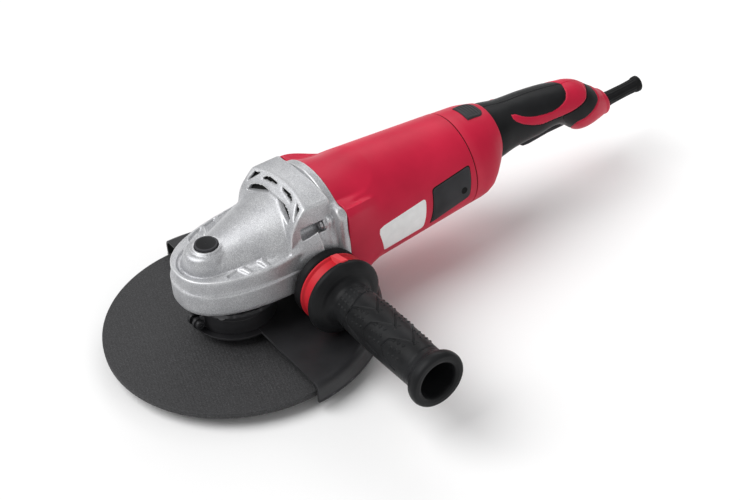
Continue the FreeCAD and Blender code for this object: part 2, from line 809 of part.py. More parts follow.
hollow_grip = oval_loft([(station, up, wide - 3.5, tall - 3.5) for station, up, wide, tall in GRIP])
trigger_slot = block((15, 54, 40), (-7.5, "trigger_pivot - 49", "motor_height - 28"))
screw_lines = [("cap_rear + 14", "motor_height + 18"), ("grip_rear - 10", "motor_height - 4")]
left_bores = [rod("x", 2.5, 24, (-28, station, up)) for station, up in screw_lines]
right_bores = [rod("x", 2.5, 24, (4, station, up)) for station, up in screw_lines]
grip = less(oval_loft(GRIP), hollow_grip, trigger_slot)
right_half = block((100, 200, 200), (0.03, "cap_rear - 20", 0))
left_half = block((100, 200, 200), (-100.03, "cap_rear - 20", 0))
node(less(common(grip, left_half), *left_bores), "handle_left")
node(less(common(grip, right_half), *right_bores), "handle_right")
boot_hole = rod("y", 7, 40, (0, "handle_rear - 20", "boot_height"))
boot_seat = rod("y", 8.2, 18.2, (0, "handle_rear - 20", "boot_height"))
node(less(oval_loft(POMMEL), boot_hole, boot_seat), "handle_pommel")

switch_body = block((16, 38, 18), (-8, "cap_rear + 36", "motor_height + 5"))
node(switch_body, "power_switch")

node(joined(
    block((13.4, 46, 6), (-6.7, "trigger_pivot - 46", "trigger_height")),
    block((8, 30, 8), (-4, "trigger_pivot - 38", "trigger_height + 6")),
    rod("x", 4, 13.4, (-6.7, "trigger_pivot", "trigger_height + 4")),
), "trigger")
node(group(*[
    rod("x", 2.4, 6, (side * 15.0 - 3.0, station, up))
    for side in (-1, 1)
    for station, up in screw_lines
]), "handle_screws")

boot_profile = [
    ("cord_bore", "handle_rear - 6"),
    (8, "handle_rear - 6"),
    (8, "handle_rear - 2"),
    (6.9, "handle_rear - 2"),
    (6.9, "handle_rear + 0.1"),
    (8.4, "handle_rear + 1"),
    (7.6, "handle_rear + 8"),
    (7.2, "boot_rear - 16"),
    (7.8, "boot_rear - 5"),
    (9, "boot_rear - 3"),
    (9, "boot_rear"),
    ("cord_bore", "boot_rear"),
]
node(turned("y", boot_profile, (0, 0, "boot_height")), "cord_boot")

# ---------------------------------------------------------------- check and write
doc.recompute()
broken = [item.Name for item in doc.Objects if set(item.State) & {"Invalid", "Error"}]
if broken:
    raise RuntimeError("failed objects: " + ", ".join(broken))
for item in nodes:
    shape = item.Shape
    if shape.isNull() or not shape.isValid() or shape.Volume <= 0:
        raise RuntimeError("bad shape: " + item.Label)
os.makedirs("parts", exist_ok=True)
for item in nodes:
    item.Shape.exportStep("parts/%s.step" % item.Label)
    print("%-28s %2d solids %10.0f mm3" % (item.Label, len(item.Shape.Solids), item.Shape.Volume))
print(len(nodes), "sub-parts")
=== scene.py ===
import bmesh
import bpy
import json
import math
import numpy as np
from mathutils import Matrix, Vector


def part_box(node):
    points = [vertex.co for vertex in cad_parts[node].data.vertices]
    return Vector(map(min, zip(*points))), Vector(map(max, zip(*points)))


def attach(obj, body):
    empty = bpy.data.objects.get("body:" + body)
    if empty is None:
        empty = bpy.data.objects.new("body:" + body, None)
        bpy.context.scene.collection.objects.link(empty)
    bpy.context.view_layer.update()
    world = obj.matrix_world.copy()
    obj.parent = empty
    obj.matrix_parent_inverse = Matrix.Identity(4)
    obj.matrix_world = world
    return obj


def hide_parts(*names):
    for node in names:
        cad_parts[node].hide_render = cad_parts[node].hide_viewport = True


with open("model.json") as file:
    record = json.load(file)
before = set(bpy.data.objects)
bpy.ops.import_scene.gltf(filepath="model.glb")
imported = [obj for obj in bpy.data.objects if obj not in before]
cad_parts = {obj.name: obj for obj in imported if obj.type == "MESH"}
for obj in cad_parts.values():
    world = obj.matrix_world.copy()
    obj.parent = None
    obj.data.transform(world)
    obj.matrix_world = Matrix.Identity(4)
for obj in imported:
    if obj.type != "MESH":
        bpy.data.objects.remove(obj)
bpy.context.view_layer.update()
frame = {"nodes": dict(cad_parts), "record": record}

import openvdb
from mathutils import Matrix, Vector

# A two-handed angle grinder. Shapes are worked out in millimetres in the CAD frame and become
# metres only when a mesh is made: +Z up the spindle, +Y back to the rear handle, +X out along
# the side handle.
MM = 0.001


def place(node):
    """Lowest and highest corner of a CAD node in millimetres."""
    low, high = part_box(node)
    return np.array(low) / MM, np.array(high) / MM


# ------------------------------------------------------------------ stations from the frame
DISC_LOW, DISC_HIGH = place("grinding_disc")
GUARD_LOW, GUARD_HIGH = place("guard")
BARREL_LOW, _ = place("motor_housing")
SHAFT_LOW, SHAFT_HIGH = place("armature_shaft")
SIDE_LOW, SIDE_HIGH = place("side_handle_grip")
BOOT_LOW, BOOT_HIGH = place("cord_boot")
CAP_LOW, CAP_HIGH = place("rear_cap")
_, POMMEL_HIGH = place("handle_pommel")

DISC_RADIUS = DISC_HIGH[0]
MOTOR_Z = (SHAFT_LOW[2] + SHAFT_HIGH[2]) / 2
FLANGE_Y = BARREL_LOW[1]
SEAM_Y = CAP_LOW[1]
GRIP_FRONT = CAP_HIGH[1]
HANDLE_REAR = POMMEL_HIGH[1]
SIDE_Y = (SIDE_LOW[1] + SIDE_HIGH[1]) / 2
SIDE_Z = (SIDE_LOW[2] + SIDE_HIGH[2]) / 2
BOOT_Z = (BOOT_LOW[2] + BOOT_HIGH[2]) / 2
BOOT_END = BOOT_HIGH[1]
SHROUD_Z = MOTOR_Z + 4.7
BARREL_Z = MOTOR_Z + 2
EAR_Z = MOTOR_Z + 4.5


# ------------------------------------------------------------------ mesh making
def make_object(name, points, faces, smooth=True):
    """An object from points in millimetres and faces, with its normals turned outwards."""
    mesh = bpy.data.meshes.new(name)
    mesh.from_pydata([tuple(point) for point in np.asarray(points) * MM], [], faces)
    mesh.validate()
    piece = bpy.data.objects.new(name, mesh)
    bpy.context.scene.collection.objects.link(piece)
    tidy(piece)
    if smooth:
        mesh.shade_smooth()
    return piece


def tidy(piece):
    """Merge doubles and turn the faces outwards."""
    shape = bmesh.new()
    shape.from_mesh(piece.data)
    bmesh.ops.remove_doubles(shape, verts=shape.verts, dist=1e-6)
    bmesh.ops.recalc_face_normals(shape, faces=shape.faces)
    shape.to_mesh(piece.data)
    shape.free()


def sharpen(piece, degrees=35):
    """Smooth shading that breaks at edges sharper than an angle."""
    piece.data.shade_smooth()
    piece.data.set_sharp_from_angle(angle=math.radians(degrees))


def grid_faces(rows, columns, closed):
    """Quads between rows of points; closed joins the last column to the first."""
    faces = []
    spans = columns if closed else columns - 1
    for row in range(rows - 1):
        for column in range(spans):
            after = (column + 1) % columns
            one, two = row * columns, (row + 1) * columns
            faces.append((one + column, one + after, two + after, two + column))
    return faces


def skin(name, rings):
    """A closed loft through rings of equal point counts, with flat ends."""
    rings = np.asarray(rings)
    rows, columns = rings.shape[:2]
    faces = grid_faces(rows, columns, True)
    faces.append(tuple(range(columns - 1, -1, -1)))
    faces.append(tuple(range((rows - 1) * columns, rows * columns)))
    return make_object(name, rings.reshape(-1, 3), faces)


def tube(name, rings):
    """Rings of points joined in turn, and the last ring joined back to the first."""
    rings = np.asarray(rings)
    rows, steps = rings.shape[:2]
    faces = grid_faces(rows, steps, True)
    last = (rows - 1) * steps
    for column in range(steps):
        after = (column + 1) % steps
        faces.append((last + column, last + after, after, column))
    return make_object(name, rings.reshape(-1, 3), faces)


def slab(name, top, bottom, rows, columns):
    """Two equal grids of points, joined into a solid round their border."""
    faces = grid_faces(rows, columns, False)
    count = rows * columns
    faces += [tuple(index + count for index in face) for face in faces]
    border = list(range(columns))
    border += [row * columns + columns - 1 for row in range(1, rows)]
    border += [(rows - 1) * columns + column for column in range(columns - 2, -1, -1)]
    border += [row * columns for row in range(rows - 2, 0, -1)]
    for index, corner in enumerate(border):
        after = border[(index + 1) % len(border)]
        faces.append((corner, after, after + count, corner + count))
    return make_object(name, np.concatenate([top, bottom]), faces)


AXES = {"x": (1, 2, 0), "y": (0, 2, 1), "z": (0, 1, 2)}


def lathe(name, along, profile, at=(0, 0, 0), steps=96):
    """Turn a closed profile of (radius, distance) points about an axis."""
    one, two, far = AXES[along]
    turns = np.arange(steps) * 2 * math.pi / steps
    rings = np.zeros((len(profile), steps, 3))
    for row, (radius, distance) in enumerate(profile):
        rings[row, :, one] = at[one] + radius * np.cos(turns)
        rings[row, :, two] = at[two] + radius * np.sin(turns)
        rings[row, :, far] = at[far] + distance
    return tube(name, rings)


def rounded(corners, radius, steps=4, closed=True):
    """A profile whose corners are rounded; corners are (radius, distance) or with a third value
    that sets that corner's own rounding."""
    path = []
    count = len(corners)
    for index, corner in enumerate(corners):
        here = np.array(corner[:2], float)
        own = corner[2] if len(corner) > 2 else radius
        if own <= 0 or (not closed and index in (0, count - 1)):
            path.append(tuple(here))
            continue
        before = np.array(corners[index - 1][:2], float) - here
        after = np.array(corners[(index + 1) % count][:2], float) - here
        reach = min(own, 0.48 * np.linalg.norm(before), 0.48 * np.linalg.norm(after))
        start = here + before / np.linalg.norm(before) * reach
        end = here + after / np.linalg.norm(after) * reach
        for step in range(steps + 1):
            t = step / steps
            path.append(tuple((1 - t) ** 2 * start + 2 * t * (1 - t) * here + t * t * end))
    return path


# ------------------------------------------------------------------ casting: solids from fields
def weld(one, two, radius):
    """Union of two distance fields with a fillet."""
    mix = np.clip(0.5 + 0.5 * (two - one) / radius, 0, 1)
    return two + (one - two) * mix - radius * mix * (1 - mix)


def trim(one, two, radius):
    """What two fields share, with a rounded edge."""
    return -weld(-one, -two, radius)


def carve(one, two, radius):
    """The first field with the second cut away, edges rounded."""
    return -weld(-one, two, radius)


def brick(x, y, z, centre, half, round_by=0.0):
    """Distance to a box with rounded edges."""
    reach = [np.abs(v - c) - h + round_by for v, c, h in zip((x, y, z), centre, half)]
    outside = np.sqrt(sum(np.maximum(r, 0) ** 2 for r in reach))
    inside = np.minimum(np.maximum(np.maximum(reach[0], reach[1]), reach[2]), 0)
    return outside + inside - round_by


def cast(name, low, high, step, field):
    """Mesh the zero surface of a field sampled on a grid."""
    axes = [np.arange(a, b + step, step, dtype=np.float32) for a, b in zip(low, high)]
    x, y, z = np.meshgrid(*axes, indexing="ij", sparse=True)
    values = np.ascontiguousarray(np.broadcast_to(field(x, y, z), [len(a) for a in axes]))
    grid = openvdb.FloatGrid(background=3.0)
    grid.copyFromArray(np.clip(values, -3, 3).astype(np.float32))
    points, quads = grid.convertToQuads(isovalue=0.0)
    points = np.asarray(points, dtype=np.float64) * step + np.asarray(low)
    mesh = bpy.data.meshes.new(name)
    mesh.vertices.add(len(points))
    mesh.vertices.foreach_set("co", (points * MM).astype(np.float32).ravel())
    mesh.loops.add(len(quads) * 4)
    mesh.loops.foreach_set("vertex_index", np.asarray(quads, dtype=np.int32).ravel())
    mesh.polygons.add(len(quads))
    mesh.polygons.foreach_set("loop_start", np.arange(len(quads), dtype=np.int32) * 4)
    mesh.update(calc_edges=True)
    piece = bpy.data.objects.new(name, mesh)
    bpy.context.scene.collection.objects.link(piece)
    shape = bmesh.new()
    shape.from_mesh(mesh)
    bmesh.ops.recalc_face_normals(shape, faces=shape.faces)
    shape.to_mesh(mesh)
    shape.free()
    mesh.shade_smooth()
    return piece


# ------------------------------------------------------------------ gear housing
HEAD_HALF = 47.2
HEAD_BACK = 40.0
HEAD_LENGTH = 90.7
HEAD_POWER = 2.35
SKIRT_LOW = 56.1
SKIRT_TOP = 78.0
DECK_Z = 91.2
NOSE_Y = -21.0
BUTTON_Y = -19.0
VENT_LOW = 103.0


def head_plan(x, y):
    """Distance to the gear head's egg-shaped plan outline."""
    a = x / HEAD_HALF + 1e-6
    b = np.clip((HEAD_BACK - y) / HEAD_LENGTH, 1e-6, None)
    level = (a ** HEAD_POWER + b ** HEAD_POWER) ** (1 / HEAD_POWER)
    slope = np.sqrt(
        (a ** (HEAD_POWER - 1) / HEAD_HALF) ** 2
        + (b ** (HEAD_POWER - 1) / HEAD_LENGTH) ** 2
    ) * level ** (1 - HEAD_POWER)
    return (level - 1) / slope


def spine_half(y):
    """Half width of the raised spine's foot at a station."""
    return 20.5 + 15.5 * np.clip((y - NOSE_Y) / 57.0, 0, 1.35)


def vent_wall(z):
    """Station of the slanted vent wall at a height."""
    up = np.clip(z - VENT_LOW, -12, 40)
    return 36 + 0.0995 * up + 0.02238 * up * np.abs(up)


def step_down(field, width):
    """One where a field is well below zero, falling smoothly to none above."""
    return 1 / (1 + np.exp(np.clip(field / width, -30, 30)))


def outline(x, z, corners, round_by=0.6):
    """Distance to a convex polygon in the x-z plane, corners given clockwise from above."""
    reach = None
    for index, (ax, az) in enumerate(corners):
        bx, bz = corners[(index + 1) % len(corners)]
        length = math.hypot(bx - ax, bz - az)
        side = ((x - ax) * -(bz - az) + (z - az) * (bx - ax)) / length
        reach = side if reach is None else trim(reach, side, round_by)
    return reach


def gear_housing_field(x, y, z):
    """The cast gear housing: skirt, deck, spine, vent wall, shroud and flange."""
    ax = np.abs(x)
    plan = head_plan(ax, y)
    skirt = trim(trim(plan, z - SKIRT_TOP, 1.6), SKIRT_LOW - z, 5.0)

    # deck that climbs from the outer edge to the spine's foot, with a sunk channel along it
    foot = np.where(y < NOSE_Y, np.hypot(ax, y - NOSE_Y) - 20.5, ax - spine_half(y))
    climb = np.clip((y - NOSE_Y) / 57.0, 0, 1.15) ** 1.25
    inner_height = DECK_Z - 1.2 + 13.5 * climb
    across = np.clip(1 - foot / np.maximum(foot - plan, 1), 0, 1)
    deck_top = DECK_Z + (inner_height - DECK_Z) * across
    deck_top = deck_top - 1.8 * step_down(foot - 3.6, 0.3)
    middle = (spine_half(y) + HEAD_HALF - 2.5 - 6.5 * np.clip((20 - y) / 40, 0, 1)) / 2 + 0.8
    width = 5.6 - 3.0 * np.clip((y + 12) / 46, 0, 1) - 4.0 * np.clip((-8 - y) / 12, 0, 1)
    pocket = trim(np.abs(ax - middle) - width, np.abs(y - 7.5) - 26.5, 2.0)
    deck_top = deck_top - 2.4 * step_down(pocket, 0.25)
    for station in (-3.0, 12.0):
        lean = y - station - 0.35 * (ax - middle)
        rib = trim(np.abs(lean) - 2.2, pocket - 0.2, 0.4)
        deck_top = deck_top + 1.7 * step_down(rib, 0.25)
    deck = trim(trim(plan + 1.6, (z - deck_top) * 0.85, 1.5), y - 76, 0.5)
    body = weld(skirt, trim(deck, 70 - z, 0.5), 0.8)
    body = trim(body, y - 76, 0.5)

    # spine, nose and the boss round the lock button
    wide = 22.6 + 0.396 * (y - NOSE_Y)
    tall = 22.8 + 0.288 * (y - NOSE_Y)
    ratio = np.sqrt((ax / wide) ** 2 + ((z - 80) / tall) ** 2)
    spine = trim((ratio - 1) * np.minimum(wide, tall), NOSE_Y - y, 0.5)
    spine = trim(spine, y - 60, 0.5)
    nose = np.hypot(ax, y - NOSE_Y) - 20.5 + np.clip(z - 90, 0, 30) * 0.3
    nose = trim(nose, z - 102.8, 4.5)
    spine = weld(spine, trim(nose, 70 - z, 0.5), 1.6)
    from_button = np.hypot(ax, y - BUTTON_Y)
    spine = weld(spine, trim(trim(from_button - 12.4, z - 104.6, 1.6), 90 - z, 1), 1.4)
    spine = trim(spine, 72 - z, 0.5)
    body = weld(body, spine, 0.7)

    # block behind the slanted vent wall
    wall = (vent_wall(z) - y) * 0.8
    side = ax - (41.0 - 1.6 * np.clip((z - VENT_LOW) / 21, -0.4, 1.4))
    roof = z - (132.3 - ax ** 2 / 330.0)
    block = trim(trim(trim(wall, side, 0.7), roof, 1.2), y - 76, 0.5)
    body = weld(body, trim(block, 84 - z, 0.5), 0.8)

    # shroud below and behind, handle bosses and the two-step flange
    ring = np.hypot(ax, z - SHROUD_Z)
    cone = trim(trim(ring - 43.5 - np.clip(y - 49, 0, 8) * 0.75, 48 - y, 1.5), y - 78, 0.5)
    body = weld(body, cone, 2.0)
    boss = trim(np.hypot(y - SIDE_Y, z - SIDE_Z) - 17.5, ax - 51.9, 1.0)
    body = weld(body, boss, 2.5)
    ears = brick(x, y, z, (0, 72.5, 80), (45.6, 3.7, 33), 4.0)
    front_ring = weld(trim(ring - 49.8, np.abs(y - 73) - 4.0, 1.0), ears, 2.5)
    rear_ears = brick(x, y, z, (0, 80.0, EAR_Z), (53.9, 4.0, 40.0), 3.4)
    rear_ears = trim(rear_ears, (ax + np.abs(z - EAR_Z) - 87.4) * 0.707, 1.0)
    rear_ring = weld(trim(ring - 53.6, np.abs(y - 80.3) - 3.6, 0.8), rear_ears, 2.5)
    body = weld(weld(body, front_ring, 1.0), rear_ring, 0.9)
    body = trim(body, GUARD_HIGH[2] + 2.7 - z, 0.8)

    # screw scallops, button well, handle threads, vent slots and the dark space behind them
    screw = np.hypot(ax - 38.5, np.abs(z - 80) - 26)
    body = carve(body, trim(screw - 5.6, np.abs(y - 58) - 11.4, 0.6), 0.8)
    boss_ring = trim(screw - 4.9, np.abs(y - 71) - 3.6, 0.6)
    body = weld(body, boss_ring, 0.8)
    body = carve(body, trim(from_button - 9.9, 92.5 - z, 0.3), 0.5)
    body = carve(body, trim(np.hypot(y - SIDE_Y, z - SIDE_Z) - 7.1, 36 - ax, 0.3), 0.5)
    depth = np.abs(y - vent_wall(z)) - 7
    crescent = outline(ax, z, [(4.9, 123.2), (13.9, 123.4), (24.2, 121.3), (30.0, 118.3), (31.2, 114.0)])
    upper = outline(ax, z, [(3.4, 128.2), (4.2, 129.3), (12.0, 129.3), (18.6, 128.5), (22.4, 125.6)])
    outer = outline(ax, z, [(27.6, 127.4), (34.1, 126.1), (36.3, 118.2)])
    for slot in (crescent, upper, outer):
        body = carve(body, trim(slot, depth, 0.4), 0.4)
    hollow = trim(trim(ax - 36.5, z - (129.6 - ax ** 2 / 330.0), 1), np.abs(y - 60.5) - 9.5, 1)
    hollow = trim(trim(hollow, vent_wall(z) + 3.2 - y, 0.5), 8.4 - screw, 0.5)
    return carve(body, trim(hollow, 98 - z, 1), 0.8)


# ------------------------------------------------------------------ materials
def new_material(name):
    """A node material with its shader, and a function that adds nodes and links."""
    material = bpy.data.materials.new(name)
    material.use_nodes = True
    return material, material.node_tree, material.node_tree.nodes["Principled BSDF"]


def noise(tree, scale, detail=2.0, stretch=(1, 1, 1)):
    """Noise over the piece's own coordinates; scale is cells per metre."""
    place_node = tree.nodes.new("ShaderNodeTexCoord")
    mapping = tree.nodes.new("ShaderNodeMapping")
    mapping.inputs["Scale"].default_value = stretch
    texture = tree.nodes.new("ShaderNodeTexNoise")
    texture.inputs["Scale"].default_value = scale
    texture.inputs["Detail"].default_value = detail
    tree.links.new(place_node.outputs["Object"], mapping.inputs["Vector"])
    tree.links.new(mapping.outputs["Vector"], texture.inputs["Vector"])
    return texture.outputs["Fac"]


def ramp(tree, fac, stops):
    """A colour ramp; stops are (position, colour)."""
    node = tree.nodes.new("ShaderNodeValToRGB")
    for index, (position, colour) in enumerate(stops):
        known = node.color_ramp.elements
        stop = known[index] if index < 2 else known.new(position)
        stop.position = position
        stop.color = (*colour, 1)
    tree.links.new(fac, node.inputs["Fac"])
    return node.outputs["Color"]


def spread(tree, fac, low, high, start=0.0, end=1.0):
    """Map a factor to a range of values."""
    node = tree.nodes.new("ShaderNodeMapRange")
    node.inputs["From Min"].default_value = start
    node.inputs["From Max"].default_value = end
    node.inputs["To Min"].default_value = low
    node.inputs["To Max"].default_value = high
    tree.links.new(fac, node.inputs["Value"])
    return node.outputs["Result"]


def mixed(tree, fac, one, two, blend="MIX"):
    """Blend two colours, each a colour or a socket, by a factor that is a number or a socket."""
    node = tree.nodes.new("ShaderNodeMix")
    node.data_type = "RGBA"
    node.blend_type = blend
    if isinstance(fac, float):
        node.inputs["Factor"].default_value = fac
    else:
        tree.links.new(fac, node.inputs["Factor"])
    for slot_name, value in (("A", one), ("B", two)):
        target = [item for item in node.inputs if item.name == slot_name and item.type == "RGBA"][0]
        if isinstance(value, tuple):
            target.default_value = (*value, 1)
        else:
            tree.links.new(value, target)
    return [item for item in node.outputs if item.type == "RGBA"][0]


def edge_wear(tree, start=0.52, end=0.6):
    """A factor that is one on convex edges."""
    geometry = tree.nodes.new("ShaderNodeNewGeometry")
    return spread(tree, geometry.outputs["Pointiness"], 0, 1, start, end)


def bump(tree, shader, heights):
    """Stack bumps; heights are (factor, strength, distance in metres)."""
    normal = None
    for fac, strength, distance in heights:
        node = tree.nodes.new("ShaderNodeBump")
        node.inputs["Strength"].default_value = strength
        node.inputs["Distance"].default_value = distance
        tree.links.new(fac, node.inputs["Height"])
        if normal is not None:
            tree.links.new(normal, node.inputs["Normal"])
        normal = node.outputs["Normal"]
    tree.links.new(normal, shader.inputs["Normal"])


def sand_cast_aluminium():
    """Painted sand-cast aluminium: silver with fine sparkle, brighter along edges."""
    material, tree, shader = new_material("sand_cast_aluminium")
    sparkle = noise(tree, 1500, 1.0)
    cloud = noise(tree, 60, 3.0)
    base = ramp(tree, sparkle, [
        (0.34, (0.40, 0.405, 0.42)), (0.52, (0.54, 0.545, 0.56)), (0.7, (0.7, 0.71, 0.72))])
    shade = ramp(tree, cloud, [(0.35, (0.86, 0.86, 0.87)), (0.65, (1.0, 1.0, 1.0))])
    product = mixed(tree, 1.0, base, shade, "MULTIPLY")
    worn = mixed(tree, edge_wear(tree, 0.515, 0.58), product, (0.84, 0.845, 0.85))
    tree.links.new(worn, shader.inputs["Base Color"])
    shader.inputs["Metallic"].default_value = 0.55
    tree.links.new(spread(tree, sparkle, 0.34, 0.52, 0.3, 0.7), shader.inputs["Roughness"])
    bump(tree, shader, [(sparkle, 0.22, 0.0003), (noise(tree, 420, 2.0), 0.12, 0.0005)])
    return material


def moulded_red(name="moulded_red", tint=(0.56, 0.011, 0.046)):
    """Satin crimson nylon with a fine moulded grain."""
    material, tree, shader = new_material(name)
    cloud = noise(tree, 22, 3.0)
    grain = noise(tree, 1900, 2.0)
    deep = tuple(value * 0.9 for value in tint)
    light = tuple(min(value * 1.1 + 0.004, 1) for value in tint)
    base = ramp(tree, cloud, [(0.3, deep), (0.7, light)])
    pale = tuple(min(value * 1.25 + 0.05, 1) for value in tint)
    worn = mixed(tree, edge_wear(tree, 0.53, 0.64), base, pale)
    tree.links.new(worn, shader.inputs["Base Color"])
    tree.links.new(spread(tree, grain, 0.36, 0.47), shader.inputs["Roughness"])
    shader.inputs["Specular IOR Level"].default_value = 0.18
    bump(tree, shader, [(grain, 0.09, 0.0002), (cloud, 0.03, 0.001)])
    return material


def moulded_rubber(name="moulded_rubber", tint=(0.005, 0.005, 0.0055), rough=0.48):
    """Black soft-touch rubber with a fine leather-like grain."""
    material, tree, shader = new_material(name)
    grain = noise(tree, 1300, 3.0)
    cloud = noise(tree, 35, 2.0)
    light = tuple(value * 2.0 + 0.004 for value in tint)
    base = ramp(tree, cloud, [(0.3, tint), (0.75, light)])
    worn = mixed(tree, edge_wear(tree, 0.53, 0.66), base, tuple(value * 3 + 0.01 for value in tint))
    tree.links.new(worn, shader.inputs["Base Color"])
    tree.links.new(spread(tree, grain, rough - 0.06, rough + 0.1), shader.inputs["Roughness"])
    shader.inputs["Specular IOR Level"].default_value = 0.12
    bump(tree, shader, [(grain, 0.14, 0.0003)])
    return material


def abrasive_grit():
    """Resin-bonded grit over a woven glass mesh."""
    material, tree, shader = new_material("abrasive_grit")
    grit = noise(tree, 900, 4.0)
    fleck = noise(tree, 2600, 1.0)
    base = ramp(tree, grit, [
        (0.3, (0.017, 0.017, 0.018)), (0.55, (0.036, 0.036, 0.038)), (0.8, (0.075, 0.075, 0.08))])
    fleck_mask = spread(tree, fleck, 0, 1, 0.68, 0.76)
    tree.links.new(mixed(tree, fleck_mask, base, (0.17, 0.17, 0.175)), shader.inputs["Base Color"])
    tree.links.new(spread(tree, grit, 0.62, 0.85), shader.inputs["Roughness"])
    waves = []
    for turn in (0.0, math.pi / 2):
        place_node = tree.nodes.new("ShaderNodeTexCoord")
        mapping = tree.nodes.new("ShaderNodeMapping")
        mapping.inputs["Rotation"].default_value = (0, 0, turn + 0.3)
        wave = tree.nodes.new("ShaderNodeTexWave")
        wave.inputs["Scale"].default_value = 110
        wave.inputs["Distortion"].default_value = 0.6
        tree.links.new(place_node.outputs["Object"], mapping.inputs["Vector"])
        tree.links.new(mapping.outputs["Vector"], wave.inputs["Vector"])
        waves.append(wave.outputs["Fac"])
    bump(tree, shader, [(grit, 0.6, 0.0006), (waves[0], 0.18, 0.0004), (waves[1], 0.18, 0.0004)])
    return material


def satin_black_steel():
    """Powder-coated guard steel, bright where its edges are cut or rubbed."""
    material, tree, shader = new_material("satin_black_steel")
    grain = noise(tree, 1700, 2.0)
    scuff = noise(tree, 30, 5.0, (1, 1, 3))
    base = ramp(tree, scuff, [(0.35, (0.018, 0.018, 0.02)), (0.72, (0.034, 0.034, 0.037))])
    worn = mixed(tree, edge_wear(tree, 0.55, 0.68), base, (0.2, 0.2, 0.21))
    tree.links.new(worn, shader.inputs["Base Color"])
    shader.inputs["Metallic"].default_value = 0.25
    tree.links.new(spread(tree, grain, 0.36, 0.5), shader.inputs["Roughness"])
    bump(tree, shader, [(grain, 0.12, 0.0002)])
    return material


def machined_steel(name="machined_steel", tint=(0.5, 0.5, 0.51), rough=0.3):
    """Turned or ground steel with fine tool marks."""
    material, tree, shader = new_material(name)
    marks = noise(tree, 500, 2.0, (1, 1, 6))
    base = ramp(tree, marks, [(0.3, tuple(v * 0.8 for v in tint)), (0.7, tint)])
    tree.links.new(base, shader.inputs["Base Color"])
    shader.inputs["Metallic"].default_value = 1.0
    tree.links.new(spread(tree, marks, rough - 0.06, rough + 0.12), shader.inputs["Roughness"])
    bump(tree, shader, [(marks, 0.08, 0.0002)])
    return material


def enamelled_wire():
    """Copper windings under varnish, with the wire's lay as ridges."""
    material, tree, shader = new_material("enamelled_wire")
    place_node = tree.nodes.new("ShaderNodeTexCoord")
    wave = tree.nodes.new("ShaderNodeTexWave")
    wave.inputs["Scale"].default_value = 300
    wave.inputs["Distortion"].default_value = 2.0
    tree.links.new(place_node.outputs["Object"], wave.inputs["Vector"])
    base = ramp(tree, wave.outputs["Fac"], [(0.2, (0.16, 0.045, 0.015)), (0.8, (0.62, 0.24, 0.09))])
    tree.links.new(base, shader.inputs["Base Color"])
    shader.inputs["Metallic"].default_value = 0.8
    shader.inputs["Roughness"].default_value = 0.35
    bump(tree, shader, [(wave.outputs["Fac"], 0.5, 0.0004)])
    return material


def plain_label():
    """Printed white film, faintly uneven in gloss."""
    material, tree, shader = new_material("plain_label")
    film = noise(tree, 140, 2.0)
    base = ramp(tree, film, [(0.3, (0.86, 0.86, 0.855)), (0.7, (0.93, 0.93, 0.925))])
    tree.links.new(base, shader.inputs["Base Color"])
    tree.links.new(spread(tree, film, 0.26, 0.36), shader.inputs["Roughness"])
    bump(tree, shader, [(film, 0.04, 0.0003)])
    return material


def wool_felt():
    """Felt of the spindle seal."""
    material, tree, shader = new_material("wool_felt")
    fibre = noise(tree, 1800, 4.0, (1, 1, 0.3))
    base = ramp(tree, fibre, [(0.3, (0.3, 0.28, 0.24)), (0.7, (0.52, 0.5, 0.44))])
    tree.links.new(base, shader.inputs["Base Color"])
    shader.inputs["Roughness"].default_value = 0.95
    bump(tree, shader, [(fibre, 0.5, 0.0004)])
    return material


SILVER = sand_cast_aluminium()
RED = moulded_red()
BRIGHT_RED = moulded_red("bright_red", (0.6, 0.018, 0.03))
RUBBER = moulded_rubber()
SOFT_RUBBER = moulded_rubber("soft_rubber", (0.008, 0.0083, 0.009), 0.4)
DARK_PLASTIC = moulded_rubber("dark_plastic", (0.02, 0.02, 0.022), 0.44)
GRIT = abrasive_grit()
BLACK_STEEL = satin_black_steel()
STEEL = machined_steel()
IRON = machined_steel("lamination_iron", (0.16, 0.16, 0.17), 0.5)
WIRE = enamelled_wire()
LABEL = plain_label()
FELT = wool_felt()
# The near-black below is the carbon brushes' own colour, and also painted shade: in the seam, round the brush
# covers, in their screw wells and behind the vent slots.
SHADE_AND_CARBON_BLACK = moulded_rubber("painted_shade_and_carbon", (0.004, 0.004, 0.004), 0.8)


def finish_piece(piece, material, body, nodes=()):
    """Paint a piece, ride it on its body and let it stand for CAD nodes."""
    if not piece.data.materials:
        piece.data.materials.append(material)
    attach(piece, body)
    if nodes:
        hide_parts(*nodes)
    return piece


# ------------------------------------------------------------------ the gear head
gear_housing = cast("gear_housing_casting", (-56, -54, 28), (56, 86, 136), 0.9, gear_housing_field)
finish_piece(gear_housing, SILVER, "housing", ["gear_housing"])

# painted shade: a near-black sheet a little way behind the vent slots, standing in for the shade inside them
shade_sheet_x = np.linspace(-36.0, 36.0, 41)
shade_sheet_rings = []
for height in np.linspace(112.6, 128.6, 17):
    top = height - shade_sheet_x ** 2 / 330.0
    front = vent_wall(top) + 4.0
    ahead = np.stack([shade_sheet_x, front, top], axis=1)
    behind = np.stack([shade_sheet_x, front + 1.0, top], axis=1)[::-1]
    shade_sheet_rings.append(np.concatenate([ahead, behind]))
vent_liner = skin("vent_liner", shade_sheet_rings)
finish_piece(vent_liner, SHADE_AND_CARBON_BLACK, "housing")


